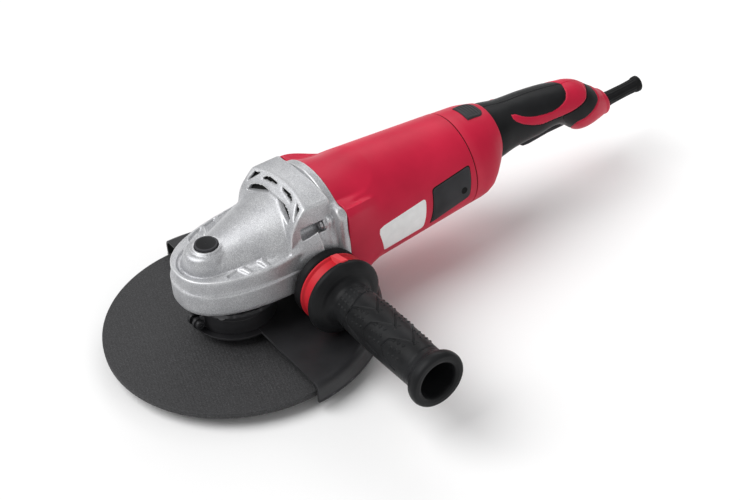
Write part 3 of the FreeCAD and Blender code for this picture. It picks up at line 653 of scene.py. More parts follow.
def pan_screw(name, radius, tall):
    """A pan-head screw with a cross recess, head up +z from the origin, in millimetres."""
    shape = bmesh.new()
    profile = [(0.0, tall), (radius * 0.55, tall * 0.95), (radius * 0.85, tall * 0.7), (radius, tall * 0.3)]
    profile += [(radius, 0.0), (radius * 0.6, 0.0), (radius * 0.6, -6.0), (0.0, -6.0)]
    turns = [index * math.pi / 12 for index in range(24)]
    rows = []
    for across, up in profile:
        if across == 0:
            rows.append([shape.verts.new((0, 0, up * MM))] * 24)
        else:
            rows.append([shape.verts.new((across * math.cos(t) * MM, across * math.sin(t) * MM, up * MM))
                         for t in turns])
    for upper, lower in zip(rows, rows[1:]):
        for index in range(24):
            after = (index + 1) % 24
            corners = [upper[index], upper[after], lower[after], lower[index]]
            unique = list(dict.fromkeys(corners))
            if len(unique) > 2:
                shape.faces.new(unique)
    for turn in (0, 1):
        size = (0.55, 0.13, 1) if turn == 0 else (0.13, 0.55, 1)
        made = bmesh.ops.create_cube(shape, size=1)
        for corner in made["verts"]:
            corner.co = Vector((corner.co.x * size[0] * 2 * radius, corner.co.y * size[1] * 2 * radius,
                                corner.co.z * 0.5 + tall + 0.02)) * MM
    bmesh.ops.recalc_face_normals(shape, faces=shape.faces)
    mesh = bpy.data.meshes.new(name)
    shape.to_mesh(mesh)
    shape.free()
    mesh.shade_smooth()
    piece = bpy.data.objects.new(name, mesh)
    bpy.context.scene.collection.objects.link(piece)
    return piece


def scatter(name, seed, spots, facing, material):
    """Set copies of a small piece at points, by Geometry Nodes, each turned to face a way.

    spots are points in millimetres; facing gives each copy's +z direction.
    """
    points = bpy.data.meshes.new(name + "_points")
    points.from_pydata([tuple(np.array(spot) * MM) for spot in spots], [], [])
    ways = points.attributes.new("facing", "FLOAT_VECTOR", "POINT")
    for index, way in enumerate(facing):
        ways.data[index].vector = tuple(way)
    piece = bpy.data.objects.new(name, points)
    bpy.context.scene.collection.objects.link(piece)
    tree = bpy.data.node_groups.new(name + "_layout", "GeometryNodeTree")
    face = tree.interface
    face.new_socket("Spots", in_out="INPUT", socket_type="NodeSocketGeometry")
    face.new_socket("Piece", in_out="INPUT", socket_type="NodeSocketObject")
    face.new_socket("Scale", in_out="INPUT", socket_type="NodeSocketFloat").default_value = 1.0
    face.new_socket("Finish", in_out="INPUT", socket_type="NodeSocketMaterial")
    face.new_socket("Set", in_out="OUTPUT", socket_type="NodeSocketGeometry")
    nodes = {kind: tree.nodes.new(kind) for kind in (
        "NodeGroupInput", "NodeGroupOutput", "GeometryNodeObjectInfo", "GeometryNodeInstanceOnPoints",
        "GeometryNodeInputNamedAttribute", "FunctionNodeAlignEulerToVector", "GeometryNodeRealizeInstances",
        "GeometryNodeSetMaterial", "GeometryNodeSetShadeSmooth")}
    entry, leave, info, copies, named, align, real, paint, smooth = nodes.values()
    named.data_type = "FLOAT_VECTOR"
    named.inputs["Name"].default_value = "facing"
    align.axis = "Z"
    link = tree.links.new
    link(entry.outputs["Piece"], info.inputs["Object"])
    link(entry.outputs["Spots"], copies.inputs["Points"])
    link(info.outputs["Geometry"], copies.inputs["Instance"])
    link(named.outputs["Attribute"], align.inputs["Vector"])
    link(align.outputs["Rotation"], copies.inputs["Rotation"])
    link(entry.outputs["Scale"], copies.inputs["Scale"])
    link(copies.outputs["Instances"], real.inputs["Geometry"])
    link(real.outputs["Geometry"], smooth.inputs["Geometry"])
    link(smooth.outputs["Geometry"], paint.inputs["Geometry"])
    link(entry.outputs["Finish"], paint.inputs["Material"])
    link(paint.outputs["Geometry"], leave.inputs["Set"])
    layout = piece.modifiers.new("layout", "NODES")
    layout.node_group = tree
    for item in face.items_tree:
        if item.in_out == "INPUT" and item.name in ("Piece", "Finish"):
            layout[item.identifier] = seed if item.name == "Piece" else material
    bpy.context.view_layer.update()
    depsgraph = bpy.context.evaluated_depsgraph_get()
    result = bpy.data.meshes.new_from_object(piece.evaluated_get(depsgraph))
    piece.modifiers.clear()
    piece.data = result
    result.name = name
    bpy.data.objects.remove(seed)
    return piece


corner_screw = pan_screw("corner_screw_head", 4.4, 2.6)
corner_spots = [(side * 38.5, 66.4, 80 + up * 26) for side in (-1, 1) for up in (-1, 1)]
housing_screws = scatter("housing_screw_heads", corner_screw, corner_spots, [(0, -1, 0)] * 4, STEEL)
finish_piece(housing_screws, STEEL, "housing", ["housing_screws"])

lock_button = lathe("spindle_lock_cap", "z", rounded(
    [(0.01, 100.6), (9.3, 100.6), (9.4, 105.6), (8.6, 106.5), (0.01, 106.9)], 0.9, 5),
    (0, BUTTON_Y, 0), 64)
finish_piece(lock_button, SOFT_RUBBER, "spindle_lock")


# ------------------------------------------------------------------ motor housing
def barrel_radius(y):
    """Radius of the motor housing at a station."""
    return 49.7 - 0.0747 * (y - 131)


def ear_outline(turn):
    """Reach of the casting's rear outline about the barrel's axis: a circle with four ears."""
    x, z = np.sin(turn), np.cos(turn)
    shift = EAR_Z - BARREL_Z
    circle = shift * z + np.sqrt(np.maximum(53.0 ** 2 - (shift * x) ** 2, 0))
    box = 1 / np.maximum(np.abs(x) / 53.2, np.where(z > 0, z / 41.8, -z / 36.8))
    corner = np.where(z > 0, 63.2, 60.2)
    return np.maximum(circle, np.minimum(box, corner))


def barrel_surface(y, turn):
    """Reach of the motor housing's skin about the barrel's axis, at a station and a turn from the top."""
    plain = barrel_radius(y)
    flange = ear_outline(turn)
    degrees = np.abs(np.degrees((turn + math.pi) % (2 * math.pi) - math.pi))
    crease = 84 + 47.5 * np.sqrt(np.clip(1 - (np.minimum(degrees, 49.9) / 50.0) ** 3.4, 0, 1))
    along = np.clip((y - FLANGE_Y) / np.maximum(crease - FLANGE_Y, 14.0), 0, 1)
    dip = 2.2 * np.sin(math.pi * along) * np.clip((52 - degrees) / 10, 0, 1)
    scoop = flange + (barrel_radius(np.maximum(crease, FLANGE_Y + 14)) - flange) * along - dip
    scoop = np.where(along < 1, scoop, plain)
    ease = np.clip((y - FLANGE_Y) / 40.0, 0, 1)
    ridge = flange + (plain - flange) * ease * ease * (3 - 2 * ease)
    reach = np.where(degrees < 50, scoop, ridge)
    seam = np.abs(degrees - 50) / 3.0
    near_seam = reach * (0.5 + 0.5 * seam) + np.maximum(scoop, ridge) * (0.5 - 0.5 * seam)
    reach = np.where(seam < 1, near_seam, reach)
    z = reach * np.cos(turn)
    floor = GUARD_HIGH[2] + 2.9 - BARREL_Z
    belly = np.clip((132 - y) / 10, 0, 1)
    cut = np.where(z < floor, floor / np.minimum(np.cos(turn), -0.1), reach)
    return reach + (np.minimum(cut, reach) - reach) * belly


def motor_housing_shell():
    """The moulded motor housing as a radial grid, closed at both ends inside the seams."""
    front = [FLANGE_Y + 0.15, FLANGE_Y + 0.15, FLANGE_Y + 0.6]
    rear = [SEAM_Y - 1.4, SEAM_Y - 0.9, SEAM_Y - 0.7, SEAM_Y - 0.7]
    stations = np.concatenate([
        front, np.arange(FLANGE_Y + 1.5, 136, 1.5), np.arange(137, SEAM_Y - 1.5, 3.5), rear])
    steps = 240
    turns = np.arange(steps) * 2 * math.pi / steps
    rings = np.zeros((len(stations), steps, 3))
    for row, y in enumerate(stations):
        reach = barrel_surface(np.full(steps, y), turns)
        if row == 0 or row == len(stations) - 1:
            reach = reach - 6
        elif row in (1, len(stations) - 2):
            reach = reach - 0.7
        elif row == len(stations) - 3:
            reach = reach - 0.25
        rings[row, :, 0] = reach * np.sin(turns)
        rings[row, :, 1] = y
        rings[row, :, 2] = BARREL_Z + reach * np.cos(turns)
    piece = skin("motor_housing_shell", rings)
    sharpen(piece, 32)
    return piece


motor_shell = motor_housing_shell()
finish_piece(motor_shell, RED, "housing", ["motor_housing"])

# painted shade: a near-black ring in the split between motor housing and rear cap, standing in for the shade
# in the gap
seam_ring = lathe("seam_ring", "y", rounded(
    [(37, SEAM_Y - 1), (42.1, SEAM_Y - 1), (42.1, SEAM_Y + 0.4), (37, SEAM_Y + 0.4)], 0.2),
    (0, 0, BARREL_Z), 96)
finish_piece(seam_ring, SHADE_AND_CARBON_BLACK, "housing")


# ------------------------------------------------------------------ plates on the barrel
def barrel_plate(name, side, corners, lift, thick, edge, corner=3.0, steps=(44, 32)):
    """A plate hugging the barrel; corners are (station, height), front-top first, then clockwise
    seen from its own side: front-top, rear-top, rear-bottom, front-bottom. corner is the radius
    of its own corners."""
    (fty, ftz), (rty, rtz), (rby, rbz), (fby, fbz) = corners
    rows, columns = steps
    u = np.linspace(0, 1, rows)[:, None]
    v = np.linspace(0, 1, columns)[None, :]
    long, high = abs(rty - fty), abs(ftz - fbz)
    rim = np.minimum(np.minimum(u, 1 - u) * long, np.minimum(v, 1 - v) * high)
    near_u, near_v = np.clip(u * long, corner, long - corner), np.clip(v * high, corner, high - corner)
    off_u, off_v = u * long - near_u, v * high - near_v
    pull = (np.maximum(np.abs(off_u), np.abs(off_v)) + 1e-9) / (np.hypot(off_u, off_v) + 1e-9)
    u, v = (near_u + off_u * pull) / long, (near_v + off_v * pull) / high
    y = (fty * (1 - u) + rty * u) * (1 - v) + (fby * (1 - u) + rby * u) * v
    z = (ftz * (1 - u) + rtz * u) * (1 - v) + (fbz * (1 - u) + rbz * u) * v
    curl = edge * (1 - np.clip(rim / max(edge, 1e-6), 0, 1)) ** 2 * 0.8
    out = barrel_radius(y) + lift + thick - curl
    x = np.sqrt(np.maximum(out ** 2 - (z - BARREL_Z) ** 2, 1))
    under = np.sqrt(np.maximum((barrel_radius(y) - 1.2) ** 2 - (z - BARREL_Z) ** 2, 1))
    top = np.stack([side * x, y, z], axis=2).reshape(-1, 3)
    bottom = np.stack([side * under, y, z], axis=2).reshape(-1, 3)
    piece = slab(name, top, bottom, rows, columns)
    sharpen(piece, 40)
    return piece


def join(name, pieces):
    """One object from several that share a material."""
    shape = bmesh.new()
    for piece in pieces:
        shape.from_mesh(piece.data)
        bpy.data.objects.remove(piece)
    mesh = bpy.data.meshes.new(name)
    shape.to_mesh(mesh)
    shape.free()
    joined = bpy.data.objects.new(name, mesh)
    bpy.context.scene.collection.objects.link(joined)
    return joined


LABEL_CORNERS = [(111.5, 85.0), (165.5, 89.2), (163.0, 58.5), (120.0, 57.0)]
COVER_CORNERS = [(174.5, 93.0), (216.0, 96.0), (213.0, 67.0), (171.0, 58.5)]
labels = join("label_plates_film", [
    barrel_plate("label", side, LABEL_CORNERS, 0.1, 0.25, 0.3) for side in (-1, 1)])
finish_piece(labels, LABEL, "housing", ["label_plates"])
covers = join("brush_cover_plates", [
    barrel_plate("cover", side, COVER_CORNERS, 0.1, 0.9, 0.8) for side in (-1, 1)])
finish_piece(covers, DARK_PLASTIC, "housing", ["brush_covers"])
# painted shade: near-black outlines just round the brush covers, standing in for the shade in the gaps round
# them
cover_gap_shades = join("brush_cover_gaps", [
    barrel_plate("gap", side, [(y + (0.9 if y > 190 else -0.9), z + (0.9 if z > 76 else -0.9))
                               for y, z in COVER_CORNERS], 0.05, 0.12, 0.2) for side in (-1, 1)])
finish_piece(cover_gap_shades, SHADE_AND_CARBON_BLACK, "housing")
# painted shade: near-black cups at the brush cover screws, standing in for the shade in their recesses; they
# take the place of the screws
COVER_SCREW_Y = 206.4
WELL = barrel_radius(COVER_SCREW_Y) + 1.2
well_shades = []
for side in (-1, 1):
    foot, rim, face = side * (WELL - 2), side * (WELL + 0.1), side * WELL
    well = rounded([(0.01, foot), (3.1, foot), (3.1, rim), (2.5, rim), (2.4, face), (0.01, face)], 0.1)
    well_shades.append(lathe("well", "x", well, (0, COVER_SCREW_Y, 77.5), 32))
screw_well_shade = join("brush_cover_wells", well_shades)
finish_piece(screw_well_shade, SHADE_AND_CARBON_BLACK, "housing", ["brush_cover_screws"])

# ------------------------------------------------------------------ rear cap and rear handle
# Ovals along the handle: station, centre height, half width, half height.
CAP_OVALS = [
    (SEAM_Y + 0.0, 77.8, 42.0, 42.0),
    (SEAM_Y + 0.5, 77.8, 42.7, 42.7),
    (SEAM_Y + 12, 77.6, 41.9, 41.9),
    (SEAM_Y + 18, 78.0, 41.2, 41.2),
    (SEAM_Y + 23.5, 79.1, 39.6, 39.8),
    (SEAM_Y + 28, 81.2, 37.0, 37.0),
    (SEAM_Y + 32.5, 83.8, 33.6, 33.6),
    (SEAM_Y + 36, 86.2, 30.8, 30.6),
    (GRIP_FRONT - 1.2, 88.2, 28.8, 28.2),
    (GRIP_FRONT - 0.2, 88.4, 28.0, 27.4),
    (GRIP_FRONT - 0.2, 88.4, 24.0, 23.5),
]
GRIP_OVALS = [
    (GRIP_FRONT - 4, 88.4, 27.0, 26.8),
    (GRIP_FRONT + 1, 88.4, 27.0, 26.6),
    (GRIP_FRONT + 20, 88.0, 24.0, 23.5),
    (GRIP_FRONT + 50, 87.5, 22.5, 21.5),
    (GRIP_FRONT + 78, 85.3, 21.6, 19.2),
    (HANDLE_REAR - 50, 80.3, 21.9, 21.6),
    (HANDLE_REAR - 41, 75.8, 22.3, 24.6),
    (HANDLE_REAR - 33, 73.2, 21.8, 24.0),
    (HANDLE_REAR - 25, 71.0, 20.6, 21.4),
    (HANDLE_REAR - 17, 68.3, 18.0, 17.8),
    (HANDLE_REAR - 8, 65.0, 14.2, 13.5),
    (HANDLE_REAR - 1.2, 62.5, 11.2, 10.4),
    (HANDLE_REAR, 62.0, 9.6, 8.6),
]


def ovals_at(ovals, stations):
    """Centre height and half sizes at stations, by a smooth curve through the given ovals."""
    table = np.array(ovals, float)
    known = table[:, 0] + np.arange(len(table)) * 1e-6
    slopes = np.gradient(table[:, 1:], known, axis=0)
    result = []
    for y in stations:
        index = int(np.clip(np.searchsorted(known, y) - 1, 0, len(known) - 2))
        span = known[index + 1] - known[index]
        t = np.clip((y - known[index]) / span, 0, 1)
        one, two = table[index, 1:], table[index + 1, 1:]
        h = (2 * t ** 3 - 3 * t ** 2 + 1, t ** 3 - 2 * t ** 2 + t, -2 * t ** 3 + 3 * t ** 2, t ** 3 - t ** 2)
        result.append(h[0] * one + h[1] * span * slopes[index] + h[2] * two + h[3] * span * slopes[index + 1])
    return np.array(result)


cap_rings = []
for y, height, wide, tall in CAP_OVALS:
    turns = np.arange(160) * 2 * math.pi / 160
    cap_rings.append(np.stack([wide * np.sin(turns), np.full(160, y), height + tall * np.cos(turns)], axis=1))
rear_cap = skin("rear_cap_shell", cap_rings)
sharpen(rear_cap, 50)
finish_piece(rear_cap, RED, "rear_handle", ["rear_cap"])


def inside(y, z, corners):
    """Signed distance to a closed polygon in the y-z plane, negative inside."""
    best = np.full(np.broadcast(y, z).shape, 1e9)
    winding = np.ones_like(best)
    for index, (ay, az) in enumerate(corners):
        by, bz = corners[(index + 1) % len(corners)]
        ey, ez = by - ay, bz - az
        py, pz = y - ay, z - az
        t = np.clip((py * ey + pz * ez) / (ey * ey + ez * ez), 0, 1)
        best = np.minimum(best, (py - ey * t) ** 2 + (pz - ez * t) ** 2)
        above, below = z >= az, z < bz
        cross = ey * pz - ez * py
        flip = (above & below & (cross > 0)) | (~above & ~below & (cross < 0))
        winding = np.where(flip, -winding, winding)
    return np.sqrt(best) * winding


def curve(points, steps=6):
    """A smooth path through points."""
    points = [np.array(point, float) for point in points]
    path = []
    for index in range(len(points) - 1):
        before = points[max(index - 1, 0)]
        one, two = points[index], points[index + 1]
        after = points[min(index + 2, len(points) - 1)]
        for step in range(steps):
            t = step / steps
            square = 2 * before - 5 * one + 4 * two - after
            cube = 3 * one - before - 3 * two + after
            path.append(tuple(0.5 * (2 * one + (two - before) * t + square * t ** 2 + cube * t ** 3)))
    path.append(tuple(points[-1]))
    return path


# The red swoosh's two edges and the pommel's edge on the handle's flanks, as (station, height).
SWOOSH_OUTER = [(277.5, 113), (281, 105), (291, 96), (308, 88), (325, 86.6), (348, 86), (361, 91), (364, 100),
                (363.5, 112), (362, 130), (352, 144)]
SWOOSH_INNER = [(334, 138), (336, 127), (339, 116), (340, 108), (337, 100.5), (325, 96), (308, 98),
                (294, 103), (281.5, 112)]
SWOOSH = curve(SWOOSH_OUTER) + curve(SWOOSH_INNER)
POMMEL_EDGE = curve([(366, 122), (372, 105), (376, 95), (377.5, 86), (372, 77.5), (362.5, 71.8), (351, 70.6),
                     (343, 65), (339, 56), (337, 40)])
POMMEL_OUTLINE = POMMEL_EDGE + [(420, 40), (420, 122)]


def handle_grid():
    """The handle's skin as a grid of rings dense enough to carry its colour edges."""
    stations = np.concatenate([[GRIP_FRONT - 4], np.arange(GRIP_FRONT - 3, HANDLE_REAR, 0.62), [HANDLE_REAR]])
    ovals = ovals_at(GRIP_OVALS, stations)
    steps = 300
    turns = np.arange(steps) * 2 * math.pi / steps
    height, wide, tall = (ovals[:, index][:, None] for index in range(3))
    x = wide * np.sin(turns)[None, :]
    z = height + tall * np.cos(turns)[None, :]
    y = np.repeat(stations[:, None], steps, axis=1)
    return stations, turns, x, y, z, height, wide, tall


def grid_shell(name, outer, inner, mask):
    """A closed shell from the cells of a ring grid where mask is true, between two surfaces."""
    rows, columns = outer.shape[:2]
    used = np.zeros((rows, columns), bool)
    for dr in (0, 1):
        for dc in (0, 1):
            used[dr:rows - 1 + dr] |= np.roll(mask, dc, axis=1)
    number = -np.ones((rows, columns), int)
    number[used] = np.arange(used.sum())
    count = int(used.sum())
    faces = []
    for row, column in zip(*np.nonzero(mask)):
        after = (column + 1) % columns
        ring = [(row, column), (row, after), (row + 1, after), (row + 1, column)]
        corners = [int(number[spot]) for spot in ring]
        faces.append(tuple(corners))
        faces.append(tuple(corner + count for corner in reversed(corners)))
        beside = [(row - 1, column), (row, after), (row + 1, column), (row, (column - 1) % columns)]
        for index, (near_row, near_column) in enumerate(beside):
            if 0 <= near_row < rows - 1 and mask[near_row, near_column]:
                continue
            one, two = corners[index], corners[(index + 1) % 4]
            faces.append((two, one, one + count, two + count))
    points = np.concatenate([outer[used], inner[used]])
    piece = make_object(name, points, faces)
    sharpen(piece, 42)
    return piece


stations, turns, x, y, z, height, wide, tall = handle_grid()
slant = 22 - np.abs(x)
side_y, side_z = y - 0.627 * slant, z + 0.9355 * slant
to_swoosh = inside(side_y, side_z, SWOOSH)
to_pommel = inside(side_y, side_z, POMMEL_OUTLINE)
to_band = inside(side_y, side_z, curve([(358, 140), (361, 112), (364, 100), (361, 91), (348, 86), (335, 84.5),
                                        (339, 77), (341, 74)]) + [(347, 66), (420, 30), (430, 150)])
groove = sum(0.7 * np.exp(-(field / 0.55) ** 2) for field in (to_swoosh, to_pommel, to_band))
lift = 0.55 * step_down(to_swoosh, 0.5) - groove
lift = lift - 0.5 * step_down(np.maximum(to_band, -to_pommel), 0.6)
split = np.minimum(np.abs(x), 9)
lift = lift - 0.45 * np.exp(-(split / 0.35) ** 2)
scale_by = 1 + lift / np.hypot(wide, tall) * 1.4
outer = np.stack([x * scale_by, y, height + (z - height) * scale_by], axis=2)
inner = np.stack([x * 0.88, y, height + (z - height) * 0.88], axis=2)
inner[0, :, 1] += 0.6
inner[-1, :, 1] -= 0.6


def cells(field):
    """Average a ring grid's corner values to its cells."""
    ahead = np.roll(field, -1, axis=1)
    return (field[:-1] + field[1:] + ahead[:-1] + ahead[1:]) / 4


# the underside is open along the trigger, so that the paddle can sink into it
trigger_slot = (cells(np.abs(x)) < 7.6) & (cells(z) < 75) & (cells(y) > 298.4) & (cells(y) < 352.2)
in_pommel = (cells(to_pommel) < 0) & ~trigger_slot
in_swoosh = (cells(to_swoosh) < 0) & ~in_pommel & ~trigger_slot
in_band = (cells(to_band) < 0) & ~in_pommel & ~in_swoosh & ~trigger_slot
in_grip = ~(in_pommel | in_swoosh | in_band | trigger_slot)
grip_skin = grid_shell("rear_grip_rubber", outer, inner, in_grip)
finish_piece(grip_skin, SOFT_RUBBER, "rear_handle", ["handle_left", "handle_right"])
swoosh_skin = grid_shell("rear_grip_swoosh", outer, inner, in_swoosh)
finish_piece(swoosh_skin, RED, "rear_handle")
band_skin = grid_shell("rear_grip_band", outer, inner, in_band)
finish_piece(band_skin, RUBBER, "rear_handle")
pommel_skin = grid_shell("handle_pommel_shell", outer, inner, in_pommel)
finish_piece(pommel_skin, RED, "rear_handle", ["handle_pommel"])


def rounded_bar(name, sections, power=4.0, steps=48):
    """A bar along y through rounded rectangles: station, centre height, half width, half height."""
    turns = np.arange(steps) * 2 * math.pi / steps
    one, two = np.sin(turns), np.cos(turns)
    across = np.sign(one) * np.abs(one) ** (2 / power)
    up = np.sign(two) * np.abs(two) ** (2 / power)
    rings = [np.stack([wide * across, np.full(steps, y), height + tall * up], axis=1)
             for y, height, wide, tall in sections]
    piece = skin(name, rings)
    sharpen(piece, 50)
    return piece


TRIGGER_SECTIONS = [
    (299.6, 62.2, 4.0, 1.2), (300.4, 61.9, 5.6, 2.1), (302, 61.6, 6.5, 2.7), (308, 61.4, 6.7, 3.0),
    (318, 62.2, 6.7, 2.9), (330, 63.2, 6.7, 2.7), (342, 63.2, 6.7, 2.7), (348, 63.0, 6.6, 2.6),
    (350.2, 63.0, 5.6, 1.9), (350.9, 63.0, 4.0, 1.0)]
trigger = rounded_bar("trigger_paddle", TRIGGER_SECTIONS)
finish_piece(trigger, DARK_PLASTIC, "trigger", ["trigger"])


def rotation_lock_pad():
    """The ribbed button that frees the handle to turn: square in front and round behind."""
    front, rear, straight_to, half_wide = 237.6, 257.2, 250, 11.0
    crest, foot, rib_from, rib_to, rib_pitch = 120.6, 111.0, 240, 253.5, 3.1
    across_count = 60
    rows = np.arange(front, rear - 0.19, 0.3)
    points = []
    for y in rows:
        past = max(y - straight_to, 0) / 7.6
        reach = half_wide * math.sqrt(max(1 - past ** 2, 0.02))
        for share in np.linspace(-1, 1, across_count):
            across = share * reach
            ends = min(y - front, rear - y, reach - abs(across))
            wave = 0.5 + 0.5 * math.cos((y - rib_from) / rib_pitch * 2 * math.pi)
            rib = 0.55 * wave if rib_from < y < rib_to else 0.0
            rib *= min(max((reach - 1.6 - abs(across)) / 0.8, 0), 1)
            crown = crest - 0.0115 * max(y - rib_from, 0) ** 2 - across * across / 90
            top = crown - 0.9 * max(0, 1 - ends / 0.9) ** 2 - rib
            points.append((across, y, top))
    base = [(px, py, foot) for px, py, _ in points]
    pad = slab("rotation_lock_pad", points, base, len(rows), across_count)
    sharpen(pad, 50)
    return pad


turn_button = rotation_lock_pad()
finish_piece(turn_button, DARK_PLASTIC, "rotation_lock", ["rotation_lock_button"])


def ribbed_boot():
    """The lead's boot: ribs lengthwise, a lip at its end and an open bore; it rises a little."""
    steps, bore, rise, rib_depth, ribs = 96, 4.2, 0.04, 0.35, 16
    turns = np.arange(steps) * 2 * math.pi / steps
    profile = rounded([
        (7.4, HANDLE_REAR - 5), (7.4, HANDLE_REAR + 1), (6.6, HANDLE_REAR + 8), (6.3, BOOT_END - 16),
        (6.6, BOOT_END - 6), (7.5, BOOT_END - 4), (7.6, BOOT_END - 0.6), (7.0, BOOT_END),
        (5.2, BOOT_END), (bore, BOOT_END - 1)], 1.0, 4, False)
    rings = []
    for radius, y in profile + [(bore, HANDLE_REAR - 5)]:
        ribbed = HANDLE_REAR + 1.5 < y < BOOT_END - 5.5 and radius > 6
        reach = radius - rib_depth * np.abs(np.sin(turns * ribs / 2)) * ribbed
        height = BOOT_Z + rise * (y - HANDLE_REAR)
        rings.append(np.stack([reach * np.sin(turns), np.full(steps, y), height + reach * np.cos(turns)],
                              axis=1))
    boot = tube("cord_boot_ribbed", rings)
    sharpen(boot, 60)
    return boot


cord_boot = ribbed_boot()
finish_piece(cord_boot, RUBBER, "rear_handle", ["cord_boot"])

# ------------------------------------------------------------------ side handle
SIDE_AT = (0, SIDE_Y, SIDE_Z)
side_base = lathe("side_handle_washer", "x", rounded(
    [(7.2, 52.2), (29.8, 52.2), (30.6, 54.0), (30.5, 59.0), (29.2, 61.2), (7.2, 61.2)], 0.8), SIDE_AT, 128)
finish_piece(side_base, RUBBER, "housing", ["side_handle_base"])


def red_ring():
    """The red ring: a turned ring with a tab above and a small one below."""
    steps = 180
    turns = np.arange(steps) * 2 * math.pi / steps
    profile = rounded([
        (7.2, 61.4), (28.6, 61.4), (30.6, 62.6), (30.8, 64.2), (28.8, 65.6), (28.2, 75.5), (7.2, 75.5)], 0.5)
    rings = []
    for radius, x_at in profile:
        rings.append(np.stack([np.full(steps, x_at), SIDE_Y + radius * np.sin(turns),
                               SIDE_Z + radius * np.cos(turns)], axis=1))
    ring = tube("ring", rings)
    sharpen(ring, 40)
    tabs = [ring]
    for turn, wide, end, near, far in ((8, 3.6, 79.0, 31.0, 34.6), (188, 3.2, 77.0, 30.5, 33.6)):
        lean = math.radians(turn)
        way = np.array([0, math.sin(lean), math.cos(lean)])
        side = np.array([0, math.cos(lean), -math.sin(lean)])
        corners = []
        slim = wide * 0.85
        for x_at, reach, half in ((62.5, 26, wide), (62.5, near, wide), (end, far, slim), (end, 27, slim)):
            for sign in (-1, 1):
                corners.append(np.array([x_at, SIDE_Y, SIDE_Z]) + way * reach + side * half * sign)
        faces = [(0, 2, 4, 6), (1, 3, 5, 7), (0, 1, 3, 2), (2, 3, 5, 4), (4, 5, 7, 6), (6, 7, 1, 0)]
        tab = make_object("tab", corners, faces, smooth=False)
        shape = bmesh.new()
        shape.from_mesh(tab.data)
        bmesh.ops.bevel(shape, geom=list(shape.edges), offset=0.5 * MM, segments=2, affect="EDGES")
        shape.to_mesh(tab.data)
        shape.free()
        tabs.append(tab)
    return join("side_handle_red_ring", tabs)


side_ring = red_ring()
finish_piece(side_ring, BRIGHT_RED, "housing", ["side_handle_ring"])


def polyline_distance(s, a, corners):
    """Distance in a grip's unrolled skin to an open path of (station, arc) points."""
    best = np.full(np.broadcast(s, a).shape, 1e9)
    for (s1, a1), (s2, a2) in zip(corners, corners[1:]):
        es, ea = s2 - s1, a2 - a1
        t = np.clip(((s - s1) * es + (a - a1) * ea) / (es * es + ea * ea), 0, 1)
        best = np.minimum(best, np.hypot(s - s1 - es * t, a - a1 - ea * t))
    return best


# Outline of the side handle's grip as (distance along the axis, radius), from flange to open end.
GRIP_CURVE = [
    (75.6, 27.0), (75.9, 31.0), (76.8, 32.8), (78.4, 33.5), (80.4, 33.5), (82.0, 32.8), (83.4, 31.2),
    (84.6, 29.0), (85.9, 25.5), (86.4, 22.4), (87.6, 20.3), (89.8, 18.7), (92.5, 18.0), (97.0, 18.1),
    (105, 18.7), (120, 19.2), (135, 19.4), (160, 19.0), (185, 18.4), (192.0, 18.6), (195.5, 19.8),
    (197.8, 21.8), (199.6, 23.4), (202, 24.2), (205, 24.4), (207.4, 23.6), (208.4, 22.2), (208.5, 19.0),
    (207.7, 16.6), (206.0, 15.8), (203, 15.4), (190, 15.2), (178.2, 15.0)]


def side_grip():
    """The side handle's rubber grip: flange, dotted pads between curved grooves, and its open end."""
    stations = np.array([s for s, _ in GRIP_CURVE])
    reaches = np.array([r for _, r in GRIP_CURVE])
    turning = int(np.argmax(stations))
    fine = []
    for index in range(len(GRIP_CURVE) - 1):
        span = abs(stations[index + 1] - stations[index]) + abs(reaches[index + 1] - reaches[index])
        pieces = max(int(span / 0.55), 1)
        if index > turning + 4:
            pieces = max(int(span / 4), 1)
        for piece in range(pieces):
            t = piece / pieces
            fine.append((stations[index] * (1 - t) + stations[index + 1] * t,
                         reaches[index] * (1 - t) + reaches[index + 1] * t, index <= turning))
    fine.append((stations[-1], reaches[-1], False))
    smooth_r = np.array([r for _, r, _ in fine])
    for _ in range(3):
        smooth_r[1:-1] = (smooth_r[:-2] + 2 * smooth_r[1:-1] + smooth_r[2:]) / 4
    steps = 250
    turns = np.arange(steps) * 2 * math.pi / steps
    arc = ((turns + math.pi) % (2 * math.pi) - math.pi) * 18.8
    s = np.array([f[0] for f in fine])[:, None]
    on_skin = (np.array([f[2] for f in fine])[:, None]) & (s > 92.5) & (s < 194)
    arc = arc[None, :] + s * 0
    s = s + arc * 0
    lift = np.zeros_like(s)
    # on each flank three pads of dots, each edged by a slanted groove
    for flank in (-1, 1):
        away = flank * arc
        for start in (108, 132, 156):
            pad = [(start + 24, -2), (start + 14, 5), (start + 3, 12), (start, 20), (start + 6, 27),
                   (start + 20, 30)]
            near = polyline_distance(s, away, pad)
            lift -= 0.9 * np.exp(-(near / 0.6) ** 2)
            for row in range(3):
                for column in range(3):
                    dot_s = start + 8.5 + column * 5 + row * 0.8
                    dot_a = 10 + row * 5.6 - column * 0.9
                    lift += 0.8 * np.exp(-(np.hypot(s - dot_s, away - dot_a) / 1.0) ** 4)
        for row in range(4):
            for column in range(3):
                dot_s = 94.5 + column * 4.4 + 0.4 * row
                dot_a = 1 + row * 5.8
                lift += 0.7 * np.exp(-(np.hypot(s - dot_s, away - dot_a) / 1.0) ** 4)
    ring_line = np.abs(s - 106 - 3.0 * np.sin(arc / 9.4))
    lift -= 0.75 * np.exp(-(ring_line / 0.55) ** 2)
    waist = -0.5 * np.exp(-((s - 188.5 - 1.5 * np.sin(arc / 9.4)) / 0.8) ** 2)
    lift = np.where(on_skin, lift + waist, 0)
    reach = smooth_r[:, None] + lift
    turn_grid = turns[None, :] + s * 0
    rings = np.stack([s, SIDE_Y - reach * np.sin(turn_grid), SIDE_Z + reach * np.cos(turn_grid)], axis=2)
    piece = skin("side_handle_rubber", rings)
    sharpen(piece, 55)
    return piece


